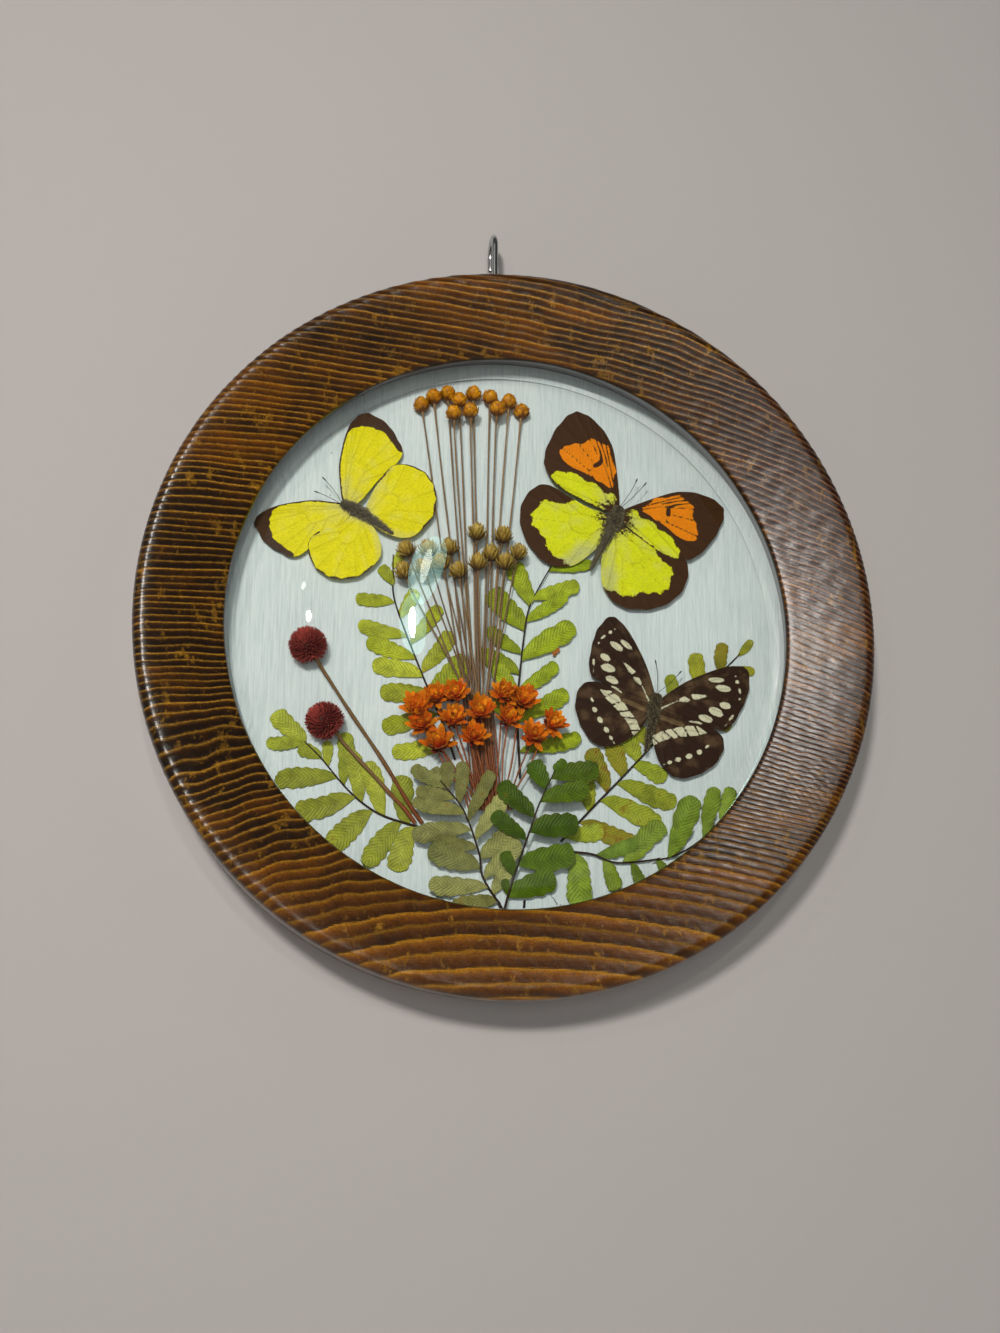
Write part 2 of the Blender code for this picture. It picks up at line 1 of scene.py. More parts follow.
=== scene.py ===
"""Visible surfaces of the round wall picture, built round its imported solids.

Specimens are laid out by X and Z in millimetres, and by their height above the silvery paper. The front faces -Y
and the wall is on the +Y side. Each surface is worked out with whole arrays: a section carried along a path.
"""
import math

import bpy
import numpy as np
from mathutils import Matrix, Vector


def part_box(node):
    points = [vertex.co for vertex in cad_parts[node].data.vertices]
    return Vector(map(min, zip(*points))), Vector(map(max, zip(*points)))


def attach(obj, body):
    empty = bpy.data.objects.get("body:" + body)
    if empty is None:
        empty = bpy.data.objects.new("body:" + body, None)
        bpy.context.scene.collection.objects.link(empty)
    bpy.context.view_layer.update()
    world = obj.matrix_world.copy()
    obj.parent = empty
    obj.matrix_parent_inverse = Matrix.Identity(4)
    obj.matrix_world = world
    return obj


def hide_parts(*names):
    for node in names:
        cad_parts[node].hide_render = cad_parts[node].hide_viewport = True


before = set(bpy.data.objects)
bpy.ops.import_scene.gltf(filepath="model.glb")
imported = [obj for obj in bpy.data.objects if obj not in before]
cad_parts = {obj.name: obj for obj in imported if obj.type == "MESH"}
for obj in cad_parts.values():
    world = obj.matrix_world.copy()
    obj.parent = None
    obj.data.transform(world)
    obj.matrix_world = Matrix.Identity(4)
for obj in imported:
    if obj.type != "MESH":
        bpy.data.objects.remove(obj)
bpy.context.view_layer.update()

bl_info = {
    "name": "Framed butterflies and dried flowers",
    "version": (1, 0, 0),
    "blender": (4, 5, 0),
    "location": "View3D > Sidebar > Wall Picture",
    "description": "Builds a charred wood ring with convex glass over butterflies, ferns and dried flowers",
    "category": "Add Mesh",
}

MM = 0.001
PAPER_FACE_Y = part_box("silver_paper")[0].y / MM
# Edges that turn by more than this are drawn sharp.
SHARP_ANGLE = math.radians(62)

# Wing outlines, as (along, across): along is 0 at the root and 1 at the tip, and across is positive at the
# fore edge. Both are shares of the wing's length.
YELLOW_FORE = [
    (0.00, 0.04), (0.20, 0.12), (0.43, 0.17), (0.75, 0.16), (0.92, 0.10), (1.00, 0.00),
    (0.95, -0.19), (0.82, -0.33), (0.63, -0.42), (0.32, -0.24), (0.05, -0.10),
]
YELLOW_HIND = [
    (0.00, 0.10), (0.30, 0.43), (0.61, 0.60), (0.90, 0.45), (1.01, 0.23), (1.00, 0.00),
    (0.84, -0.28), (0.48, -0.46), (0.19, -0.34), (0.02, -0.12),
]
ORANGE_FORE = [
    (0.02, 0.03), (0.30, 0.13), (0.60, 0.19), (0.83, 0.14), (0.98, 0.03), (0.99, -0.09),
    (0.88, -0.27), (0.70, -0.43), (0.55, -0.465), (0.35, -0.39), (0.05, -0.10),
]
ORANGE_HIND = [
    (0.00, 0.08), (0.18, 0.24), (0.34, 0.42), (0.54, 0.65), (0.73, 0.66), (0.92, 0.52),
    (1.02, 0.28), (1.00, 0.00), (0.87, -0.25), (0.63, -0.35), (0.38, -0.29), (0.13, -0.15),
]
BANDED_FORE = [
    (0.03, 0.03), (0.35, 0.105), (0.70, 0.11), (0.90, 0.075), (1.00, 0.00), (0.94, -0.175),
    (0.80, -0.32), (0.62, -0.445), (0.50, -0.46), (0.40, -0.38), (0.15, -0.21), (0.02, -0.06),
]
BANDED_HIND = [
    (0.02, 0.10), (0.18, 0.27), (0.36, 0.41), (0.70, 0.575), (0.90, 0.53), (1.02, 0.30),
    (1.01, 0.02), (0.90, -0.24), (0.70, -0.34), (0.42, -0.30), (0.15, -0.14),
]

# Each wing: outline, side (+1 right, -1 left), root X, root Z, length, direction in degrees, height at the
# root and at the tip. Each body: X, Z and radius from head to tail. Antennae: from the head to their clubs.
BUTTERFLIES = {
    "butterfly_yellow": {
        "height": 3.0,
        "body": [(-47.0, 34.9, 0.8), (-45.4, 34.0, 1.1), (-43.0, 33.0, 1.5), (-39.6, 31.0, 1.4), (-36.0, 28.8, 1.1),
                 (-32.2, 26.4, 0.5)],
        "antennae": [(-46.7, 34.6, -52.2, 41.5), (-46.9, 34.2, -54.3, 37.3)],
        "wings": [
            (YELLOW_HIND, 1, -39.4, 31.4, 20.2, 20, 3.2, 3.2),
            (YELLOW_HIND, -1, -41.4, 30.9, 18.7, -107, 3.2, 2.8),
            (YELLOW_FORE, 1, -45.0, 34.4, 28.2, 80, 3.6, 2.0),
            (YELLOW_FORE, -1, -44.4, 33.0, 26.0, -169, 3.6, 1.6),
        ],
    },
    "butterfly_orange_tip": {
        "height": 3.2,
        "body": [(32.4, 37.6, 0.9), (31.7, 36.0, 1.3), (30.8, 33.6, 1.9), (29.2, 30.4, 1.7), (26.4, 24.6, 1.3),
                 (23.2, 18.2, 0.6)],
        "antennae": [(32.3, 37.6, 37.2, 45.8), (32.7, 37.4, 39.8, 44.7)],
        "wings": [
            (ORANGE_HIND, -1, 29.6, 33.0, 24.6, -160, 3.1, 2.6),
            (ORANGE_HIND, 1, 30.4, 31.4, 25.1, -71, 3.1, 2.6),
            (ORANGE_FORE, -1, 31.1, 36.0, 31.9, 110, 3.5, 3.2),
            (ORANGE_FORE, 1, 32.0, 35.0, 31.0, 7, 3.5, 2.6),
        ],
    },
    "butterfly_banded": {
        "height": 3.0,
        "body": [(41.8, -16.6, 0.8), (41.4, -18.2, 1.1), (40.8, -20.6, 1.6), (40.0, -24.2, 1.3), (39.0, -29.0, 0.9),
                 (38.0, -33.6, 0.5)],
        "antennae": [(41.6, -16.4, 41.2, -7.4), (42.0, -16.5, 48.6, -10.3)],
        "wings": [
            (BANDED_HIND, -1, 40.4, -21.8, 20.4, -167, 2.9, 2.5),
            (BANDED_HIND, 1, 40.8, -22.4, 20.5, -53, 2.9, 2.5),
            (BANDED_FORE, -1, 40.9, -19.2, 27.1, 116, 3.3, 3.0),
            (BANDED_FORE, 1, 41.8, -19.9, 28.6, 23, 3.3, 2.4),
        ],
    },
}

# Each fern: its leaf colours, young and old, how brown its leaflets have gone, the height of its layer at the foot
# and further up, the stalk's points as X and Z from its foot up, and its leaflets as (place along the stalk, length,
# angle in degrees, width). Angles are positive to the left. Millimetres.
FERNS = {
    "fern_left": ("#BCC044", "#A2AA34", 0.10, (0.3, 0.3),
        [(-24.0, -54.5), (-33.0, -51.8), (-38.8, -48.5), (-44.0, -43.8), (-50.3, -36.5), (-54.9, -32.0)], [
        (0.03, 13, 82, 6.4), (0.12, 14.5, 65, 6), (0.33, 15, 71, 6.4), (0.48, 16, 58, 6), (0.66, 16, 50, 5.5),
        (0.83, 7, 20, 4), (0.98, 10.5, 45, 3.8), (0.98, 12, 2, 5.5), (0.76, 7, -36, 3), (0.59, 14.5, -45, 4.5),
        (0.42, 14.5, -41, 5), (0.24, 15.5, -49, 5.5), (0.06, 13.5, -61, 6)]),
    "fern_centre_left": ("#C0C63C", "#A6B024", 0.12, (0.3, 0.3),
        [(-14.3, -36.1), (-18.2, -25.2), (-24.7, -9.9), (-31.3, 7.5), (-32.0, 15.6), (-32.1, 21.4)], [
        (0.07, 16, 81, 5), (0.22, 16, 84, 5.3), (0.31, 14, 64, 5.3), (0.40, 14.5, 52, 5.3), (0.49, 14.5, 50, 5),
        (0.60, 14, 57, 4.4), (0.77, 11, 71, 3.9), (0.85, 6.5, 30, 3.6), (0.93, 6, -27, 2.8), (0.69, 9.5, -46, 3.9),
        (0.56, 14, -58, 4.2), (0.42, 14.5, -59, 5), (0.30, 15, -63, 6.5)]),
    "fern_centre_right": ("#B0BE2C", "#90A416", 0.06, (1.1, 1.1),
        [(3.4, -41.0), (2.7, -23.1), (3.3, -13.2), (5.6, 5.0), (8.6, 12.5), (14.3, 22.7)], [
        (0.92, 13.5, -47, 3.5), (0.77, 14.5, -43, 4.8), (0.67, 14.5, -45, 4.3), (0.50, 18.5, -48, 6.6),
        (0.35, 14.5, -47, 4.3), (0.23, 17, -58, 5.1), (0.11, 18, -79, 4.7), (0.74, 13.5, 37, 5.8), (0.63, 15, 48, 7),
        (0.53, 12, 63, 4.3), (0.44, 13, 67, 5.1), (0.34, 11, 38, 4.7), (0.25, 11, 52, 5)]),
    "fern_right": ("#AABC36", "#A29A28", 0.38, (0.3, 0.3),
        [(14.6, -57.9), (22.6, -49.5), (36.9, -34.9), (49.6, -20.9), (57.1, -13.5), (66.9, -3.8)], [
        (0.15, 11, 49, 5.5), (0.25, 13, 64, 5.5), (0.33, 10, 58, 5.5), (0.41, 8, 61, 5), (0.48, 7, 65, 4),
        (0.64, 12.5, 47, 4), (0.77, 12, 49, 5), (0.88, 9.5, 37, 4), (0.98, 7, 0, 2.5), (0.39, 10, -62, 5),
        (0.30, 17.5, -63, 5.7), (0.21, 18, -64, 6), (0.10, 17, -68, 5.5), (0.02, 11, -36, 5), (0.75, 13, -86, 4.5),
        (0.89, 10, -38, 3)]),
    "fern_lower_right": ("#98AE3C", "#76942C", 0.10, (1.1, 1.1),
        [(17.4, -60.6), (23.3, -61.2), (30.2, -63.3), (44.2, -61.4), (51.4, -57.9), (59.7, -50.9)], [
        (0.14, 12.5, 32, 4), (0.31, 16, 42, 6), (0.58, 18.5, 50, 6.4), (0.83, 14.5, 34, 4.5), (0.97, 10.5, 27, 4),
        (0.03, 14, -84, 6.9), (0.19, 9, -40, 4.5), (0.36, 8, -70, 3.5), (0.51, 5.5, -60, 3)]),
    "fern_front_left": ("#A6A662", "#82864A", 0.25, (0.9, 5.3),
        [(0.4, -77.8), (-6.6, -68.0), (-8.1, -61.3), (-12.5, -50.4), (-16.7, -45.0), (-18.8, -42.6)], [
        (0.12, 12.5, 56, 4.2), (0.23, 16, 54, 5), (0.36, 15, 62, 6.5), (0.49, 12, 62, 4), (0.61, 16, 71, 5),
        (0.72, 14.5, 51, 4.3), (0.84, 11, 39, 3.9), (0.93, 11, 21, 3.9), (0.98, 4.6, -5, 4), (0.92, 7.5, -38, 3.9),
        (0.80, 11.5, -40, 3.9), (0.67, 15, -47, 3.9), (0.54, 15.5, -53, 4.6), (0.42, 12.5, -59, 6),
        (0.29, 13.5, -72, 5.3), (0.17, 9.5, -63, 4.3)]),
    "fern_front_right": ("#5A7612", "#406008", 0.10, (1.9, 6.3),
        [(-1.6, -77.6), (1.7, -66.6), (4.8, -57.0), (7.3, -49.7), (9.8, -44.1), (12.3, -39.2)], [
        (0.12, 14, -50, 6.7), (0.33, 15.5, -60, 7), (0.55, 13.5, -59, 6.7), (0.76, 14, -48, 5.7),
        (0.93, 13.5, -48, 6), (0.98, 4.6, -18, 3.2), (0.85, 8.5, 51, 5.3), (0.65, 13, 65, 5.5),
        (0.50, 11.5, 73, 4.6), (0.26, 7, 43, 3.5), (0.13, 4.5, 30, 2.5)]),
}
FERN_FOOT_Z = -71
FERN_LEVEL_Z = -54
LEAF_ROWS = 46
LEAF_COLUMNS = 22

# Flower heads as X, Z and height of the middle of the head, in order from left to right round their bunch.
AMBER_HEADS = [
    (-24.8, 65.2, 2.4), (-21.4, 67.8, 2.4), (-17.4, 69.0, 2.4), (-15.8, 62.2, 5.0), (-14.2, 66.4, 4.4),
    (-11.0, 63.2, 5.0), (-10.0, 69.4, 2.4), (-5.2, 68.6, 2.4), (-3.4, 64.2, 5.0), (0.2, 67.2, 3.4),
    (4.0, 65.0, 2.4),
]
TAN_BACK_HEADS = [
    (-28.5, 21.1, 4.9), (-22.6, 21.4, 4.9), (-16.7, 22.2, 4.9), (-9.2, 26.9, 4.9), (-5.2, 21.0, 4.9),
    (-1.8, 26.4, 4.9), (2.4, 21.6, 4.9),
]
TAN_FRONT_HEADS = [
    (-29.4, 14.6, 5.65), (-23.8, 15.8, 5.65), (-18.8, 17.6, 5.65), (-14.2, 15.4, 5.65), (-8.9, 18.0, 5.65),
    (-1.2, 18.4, 5.65),
]
ORANGE_HEADS = [
    (-24.0, -27.6, 7.3), (-19.6, -32.7, 7.3), (-25.2, -22.9, 7.3), (-20.3, -20.0, 7.3), (-15.6, -25.9, 7.3),
    (-15.2, -19.0, 7.3), (-10.0, -30.5, 7.3), (-8.3, -23.7, 7.3), (-1.7, -18.8, 7.3), (-0.7, -25.5, 7.3),
    (3.3, -20.4, 7.3), (6.3, -30.0, 7.3), (11.4, -26.6, 7.3),
]
RED_HEADS = [(-49.7, -27.0, 4.9), (-54.8, -6.5, 4.9)]


# ---------------------------------------------------------------------------------------------- sizes and colours

def linear(part):
    """One sRGB value from 0 to 1, as linear light."""
    return part / 12.92 if part <= 0.04045 else ((part + 0.055) / 1.055) ** 2.4


def rgb(code):
    """A hex colour as three linear values."""
    return np.array([linear(int(code[i:i + 2], 16) / 255) for i in (1, 3, 5)])


def rgba(colour):
    """Four linear values from a hex colour or from a colour property."""
    return (*(rgb(colour) if isinstance(colour, str) else colour), 1.0)


def colour_property(name, code, description):
    """A colour setting, its default given as a hex colour."""
    return bpy.props.FloatVectorProperty(name=name, description=description, subtype="COLOR", size=3, min=0, max=1,
                                         default=tuple(rgb(code)))


def length_property(name, default, description):
    """A length setting, its default given in metres."""
    return bpy.props.FloatProperty(name=name, description=description, default=default, min=0, subtype="DISTANCE",
                                   unit="LENGTH")


class CaseSettings(bpy.types.PropertyGroup):
    ridge_height: length_property("Ridge height", 0.22 * MM, "How far the hard growth lines stand above the soft wood")
    growth_pitch: length_property("Growth ring spacing", 1.8 * MM, "Distance between growth lines on the upper face")
    wide_pitch: length_property("Wide ring spacing", 3.6 * MM, "Distance between growth lines near the bottom")
    wood_groove: colour_property("Charred groove", "#221000", "Colour of the soft wood left in the grooves")
    wood_ridge: colour_property("Rubbed ridge", "#BE8C2A", "Colour of the hard lines rubbed bare by the brush")
    wood_gold: colour_property("Golden wood", "#8C5200", "Colour of the wood where the charring is thin")
    glass_tint: colour_property("Glass", "#F7FCF9", "Colour of light that has passed through the glass")
    paper_silver: colour_property("Silver paper", "#DCE6E8", "Colour of the pearly backing paper")
    hardboard: colour_property("Hardboard", "#8C7448", "Colour of the board behind the paper")
    wire: colour_property("Hook wire", "#C9CBCC", "Colour of the bright steel wire")


class SpecimenSettings(bpy.types.PropertyGroup):
    wing_thickness: length_property("Wing thickness", 0.12 * MM, "Thickness of a butterfly wing with its scales")
    leaf_thickness: length_property("Leaf thickness", 0.14 * MM, "Thickness of a pressed fern leaflet")
    stem_radius: length_property("Stem radius", 0.22 * MM, "Radius of the thin flower stems")
    wing_yellow: colour_property("Yellow wing", "#F2E414", "Ground colour of the yellow butterfly")
    wing_lime: colour_property("Lime wing", "#E4E618", "Ground colour of the orange-tipped butterfly")
    wing_orange: colour_property("Orange patch", "#F68A04", "Patch on the orange-tipped butterfly's forewings")
    wing_brown: colour_property("Brown wing", "#331E10", "Ground colour of the banded butterfly")
    wing_cream: colour_property("Cream marks", "#DCD6B6", "Spots and bands of the banded butterfly")


def connect(tree, node, inputs):
    """Sets a node's inputs to values or links them: another node stands for its first output, or, where it mixes
    colours, for its colour."""
    for name, value in inputs.items():
        if isinstance(value, bpy.types.Node):
            value = value.outputs[2 if value.bl_idname == "ShaderNodeMix" else 0]
        if isinstance(value, bpy.types.NodeSocket):
            tree.links.new(value, node.inputs[name])
        else:
            node.inputs[name].default_value = value


def add(tree, kind, inputs=None, stops=None, **settings):
    """One node with its settings, its inputs, and its ramp's stops."""
    made = tree.nodes.new("ShaderNode" + kind)
    for name, value in settings.items():
        setattr(made, name, value)
    if stops:
        for place, colour in stops[1:-1]:
            made.color_ramp.elements.new(place)
        for element, (place, colour) in zip(made.color_ramp.elements, stops):
            element.position, element.color = place, rgba(colour)
    connect(tree, made, inputs or {})
    return made


# Where most of a noise's values lie.
NOISE_RANGE = {"From Min": 0.3, "From Max": 0.7}
BLENDED = {"data_type": "RGBA"}
MULTIPLIED = {"data_type": "RGBA", "blend_type": "MULTIPLY"}


def start_material(name, **sockets):
    """A new material, its node tree and its shader, with constants put on the shader's own sockets."""
    made = bpy.data.materials.new(name)
    made.use_nodes = True
    shader = made.node_tree.nodes["Principled BSDF"]
    for socket, value in sockets.items():
        shader.inputs[socket.replace("_", " ")].default_value = value
    return made, made.node_tree, shader


# ---------------------------------------------------------------------------------------------- surfaces

def smooth(points, steps, closed=False):
    """A curve through points: on each stretch, the cubic whose ends lean towards the next points along."""
    points = np.asarray(points, float)
    if closed:
        knots = np.vstack([points[-1:], points, points[:2]])
    else:
        knots = np.vstack([2 * points[0] - points[1], points, 2 * points[-1] - points[-2]])
    t = (np.arange(steps) / steps)[None, :, None]
    a, b, c, d = (knots[i:len(knots) - 3 + i, None, :] for i in range(4))
    curve = 0.5 * (2 * b + (c - a) * t + (2 * a - 5 * b + 4 * c - d) * t**2 + (3 * b - 3 * c + d - a) * t**3)
    curve = curve.reshape(-1, points.shape[1])
    return curve if closed else np.vstack([curve, points[-1:]])


def runs(points):
    """Each point's distance from the first, along straight stretches."""
    return np.append(0, np.cumsum(np.linalg.norm(np.diff(points, axis=0), axis=1)))


def evenly(points, count, ease=0):
    """Evenly spaced points along straight stretches, its corners rounded by averaging neighbours ease times."""
    points = np.asarray(points, float)
    run = runs(points)
    at = np.linspace(0, run[-1], count)
    line = np.stack([np.interp(at, run, column) for column in points.T], 1)
    for _ in range(ease):
        line[1:-1] = (line[:-2] + 2 * line[1:-1] + line[2:]) / 4
    return line


def smooth_step(low, high, value):
    """0 at low, 1 at high, and a soft S between them."""
    t = np.clip((value - low) / (high - low), 0, 1)
    return t * t * (3 - 2 * t)


def wobble(a, b, seed):
    """Smooth noise from about -1 to 1 over two coordinates: seven sine waves of seeded direction, length and start."""
    draw = np.random.default_rng(seed)
    total = 0
    for _ in range(7):
        direction, length, start = draw.uniform(0, 2 * math.pi), draw.uniform(0.5, 1.8), draw.uniform(0, 2 * math.pi)
        total = total + np.sin((a * math.cos(direction) + b * math.sin(direction)) / length + start)
    return total / 3.5


def full_turn(count):
    """Evenly spaced angles round a circle."""
    return np.arange(count) * 2 * math.pi / count


def turned(radius, y, angle):
    """A section turned round the Y axis: radius times cosine, Y, and radius times sine, on a new last axis."""
    return np.stack(np.broadcast_arrays(radius * np.cos(angle), y, radius * np.sin(angle)), -1)


def laid(x, height, z):
    """Points over the paper, from X, the height above it and Z, on a new last axis."""
    return np.stack(np.broadcast_arrays(x, PAPER_FACE_Y - height, z), -1)


def lofted(points, joined=False, **fields):
    """Closed shapes from points (shapes, rows, columns, 3): the columns close round, and the ends are capped or
    joined to each other. A shape whose volume comes out negative has its columns reversed, so it faces outward."""
    points = np.array(points, float)
    fields = {name: np.broadcast_to(value, points.shape).copy() for name, value in fields.items()}
    count, rows, columns = points.shape[:3]
    local = points - points.mean(axis=(1, 2), keepdims=True)
    below = np.roll(local, -1, axis=1)
    last = rows if joined else rows - 1
    a, b = local[:, :last], np.roll(local, -1, axis=2)[:, :last]
    c, d = np.roll(below, -1, axis=2)[:, :last], below[:, :last]
    volume = ((np.cross(b, c) + np.cross(c, d)) * a).sum((1, 2, 3))
    inside_out = volume < 0
    for array in (points, *fields.values()):
        array[inside_out] = array[inside_out][:, :, ::-1]
    first = (np.arange(count) * rows * columns)[:, None, None]
    row, column = np.arange(last)[None, :, None], np.arange(columns)[None, None, :]
    here, under, after = first + row * columns, first + (row + 1) % rows * columns, (column + 1) % columns
    faces = [np.stack([here + column, here + after, under + after, under + column], -1).reshape(-1, 4)]
    if not joined:
        faces.append(np.vstack([first[:, 0] + column[0, :, ::-1], first[:, 0] + (rows - 1) * columns + column[0]]))
    return {"points": points.reshape(-1, 3), "faces": faces,
            "fields": {name: value.reshape(-1, 3) for name, value in fields.items()}}


def merged(shapes):
    """Several shapes as one: points and fields end to end, faces renumbered."""
    starts = np.cumsum([0] + [len(shape["points"]) for shape in shapes])
    return {
        "points": np.vstack([shape["points"] for shape in shapes]),
        "faces": [faces + start for shape, start in zip(shapes, starts) for faces in shape["faces"]],
        "fields": {name: np.vstack([shape["fields"][name] for shape in shapes]) for name in shapes[0]["fields"]},
    }


def tube(path, radii, columns, reference=(0, 1, 0), flatness=1.0):
    """Tubes (shapes, rows, columns, 3): at each point of a path (shapes, rows, 3), a circle square to the path.
    Its first axis is the path's direction crossed with reference, and its second may be flattened."""
    along = np.gradient(path, axis=1)
    first = np.cross(along, np.asarray(reference, float))
    first /= np.linalg.norm(first, axis=-1, keepdims=True)
    second = np.cross(along, first)
    second /= np.linalg.norm(second, axis=-1, keepdims=True)
    angle = full_turn(columns)[:, None]
    circle = first[:, :, None] * np.cos(angle) + second[:, :, None] * np.sin(angle) * flatness
    return path[:, :, None] + circle * np.asarray(radii)[:, :, None, None]


def place_piece(name, shape, finish, slot, *replaced):
    """Puts a shape given in millimetres into a mesh with its fields as attributes, and ties it to the frame. Where a
    material reads one value of a field, the shape may carry it in all three."""
    mesh = bpy.data.meshes.new(name)
    loops = np.concatenate([faces.ravel() for faces in shape["faces"]]).astype(np.int32)
    totals = np.concatenate([np.full(len(faces), faces.shape[1]) for faces in shape["faces"]])
    mesh.vertices.add(len(shape["points"]))
    mesh.vertices.foreach_set("co", (shape["points"] * MM).astype(np.float32).ravel())
    mesh.loops.add(len(loops))
    mesh.loops.foreach_set("vertex_index", loops)
    mesh.polygons.add(len(totals))
    mesh.polygons.foreach_set("loop_start", (np.cumsum(totals) - totals).astype(np.int32))
    mesh.update(calc_edges=True)
    for field, values in shape["fields"].items():
        data = mesh.attributes.new(field, "FLOAT_VECTOR", "POINT").data
        data.foreach_set("vector", values.astype(np.float32).ravel())
    mesh.materials.append(finish)
    mesh.shade_smooth()
    mesh.set_sharp_from_angle(angle=SHARP_ANGLE)
    made = bpy.data.objects.new(name, mesh)
    bpy.context.scene.collection.objects.link(made)
    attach(made, "root")
    if replaced:
        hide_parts(*replaced)
    return made


def paint_node(name, finish):
    """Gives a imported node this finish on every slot."""
    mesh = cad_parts[name].data
    if not mesh.materials:
        mesh.materials.append(finish)
    for number in range(len(mesh.materials)):
        mesh.materials[number] = finish


# ---------------------------------------------------------------------------------------------- wood ring

# The ring's section as radius and Y in millimetres: the back and its edge, the side, the dished face, and the inside.
RING_BACK = [(84.3, 0.0), (88.0, 0.0), (93.0, 0.0), (98.0, 0.0), (99.3, -0.9)]
RING_SIDE = [(100.0, -2.5), (100.0, -12.0), (100.0, -22.0)]
RING_FACE = [(100.0, -22.0), (99.6, -23.6), (98.5, -24.6), (96.6, -25.0), (92.0, -23.5), (86.0, -21.1), (80.5, -18.8),
             (78.4, -17.9), (77.2, -17.2), (76.8, -16.3)]
RING_INSIDE = [(77.2, -14.8), (78.1, -11.6), (79.0, -8.4), (80.2, -8.4), (81.3, -8.4), (81.3, -4.0), (84.3, -4.0)]
RING_STEPS = 1180
FACE_COLUMNS = 60
SIDE_COLUMNS = 12


def growth_lines(x, y, z, settings):
    """Which growth ring a point lies in, a fraction between two. The rings' height is Z with a slope along X that
    fades below, an arch along X squared that is stronger on the right, a little of Y, and slow waves everywhere and
    quick ones at the lower left. That height over the spacing, which widens below, gives the count."""
    below = smooth_step(-15, -75, z)
    arcs = z + 0.12 * (1 - below) * x + np.where(x > 0, 0.0024, 0.0013 + 0.0012 * below) * x**2 + 0.06 * y
    arcs = arcs + 1.3 * wobble(x / 38, z / 20, 3) + 0.5 * wobble(x / 12, z / 5, 5)
    lower_left = smooth_step(25, -45, x) * smooth_step(-5, -45, z)
    arcs = arcs + 0.5 * wobble(x / 1.5, z / 4.0, 7) * lower_left + 0.10 * wobble(x / 2.2, z / 3.0, 8)
    arcs = arcs + 0.3 * wobble(x / 9.0, z / 3.2, 9) + 0.14 * wobble(x / 3.2, z / 2.4, 10)
    narrow, wide = settings.growth_pitch / MM, settings.wide_pitch / MM
    steps = np.linspace(-150, 150, 1201)
    pitches = narrow + (wide - narrow) * smooth_step(-42, -80, steps)
    return np.interp(arcs, steps, np.cumsum((steps[1] - steps[0]) / pitches))


def make_ring_shape(settings):
    """The section, finely spaced over the face, turned round the Y axis. Soft wood between the growth lines is
    sunk along the section's normal, less on the side and not at all behind."""
    side = evenly(RING_SIDE, SIDE_COLUMNS)
    face = evenly(smooth(RING_FACE, 12), FACE_COLUMNS)
    profile = np.vstack([RING_BACK, side[:-1], face, RING_INSIDE])
    relief = np.concatenate([np.zeros(len(RING_BACK)), np.linspace(0.05, 0.42, len(side) - 1),
                             smooth_step(-5, 7, np.arange(len(face))), np.zeros(len(RING_INSIDE))])
    relief[-len(RING_INSIDE) - 10:-len(RING_INSIDE)] *= np.linspace(0.9, 0.1, 10)
    angle = full_turn(RING_STEPS)[:, None]
    slope = np.roll(profile, -1, axis=0) - np.roll(profile, 1, axis=0)
    normal = np.stack([-slope[:, 1], slope[:, 0]], 1)
    normal /= np.linalg.norm(normal, axis=1, keepdims=True)
    surface, outward = (turned(column[:, 0], column[:, 1], angle) for column in (profile, normal))
    x, y, z = (surface[..., i] for i in range(3))
    lines = growth_lines(x, y, z, settings)
    # The ridges are worn down where the arched rings lie low.
    arch_height = z + 0.0024 * np.maximum(x, 0)**2
    share = lines - np.floor(lines)
    ridge = smooth_step(0.45, 0.80, share) * smooth_step(1.0, 0.84, share)
    worn = (0.55 + 0.45 * smooth_step(-0.7, 0.7, wobble(x / 10, z / 7, 11))) * (
        1 - 0.55 * smooth_step(-40, -75, arch_height))
    sink = (ridge - 1) * settings.ridge_height / MM * worn + 0.04 * wobble(x / 0.8, z / 0.7, 13) - 0.03
    points = surface + outward * (sink * relief)[..., None]
    # How golden, thinly charred the wood is, how much redder it is on the right, and how dark: painted shade on the
    # side and the face's outer edge, and darkest at the inside edge.
    top = smooth_step(20, 60, z) * smooth_step(85, 10, x)
    bottom = smooth_step(-48, -80, z)
    streaks = wobble(x / 16, z / 3.0, 17) + 0.6 * wobble(x / 4.0, z / 1.6, 19)
    gold = np.clip(0.27 * top + 0.62 * bottom + 0.42 * smooth_step(0.1, 1.0, streaks), 0, 1)
    red = smooth_step(25, 80, x) * smooth_step(-85, -30, z) * smooth_step(95, 60, z)
    # Painted shade: the side and the face's outer edge are darkened as if in shadow, and the inside edge is darkest.
    side_shade_and_dark_edge = np.concatenate([np.zeros(len(RING_BACK)), np.full(len(side) - 1, 0.6),
                            0.6 * smooth_step(7, 1, np.arange(len(face))), np.ones(len(RING_INSIDE))])
    side_shade_and_dark_edge[-len(RING_INSIDE) - 2:] = 1
    tone = np.stack(np.broadcast_arrays(gold, red, side_shade_and_dark_edge), -1)
    return lofted(points[None], joined=True, place=lines[None, ..., None], tone=tone[None])


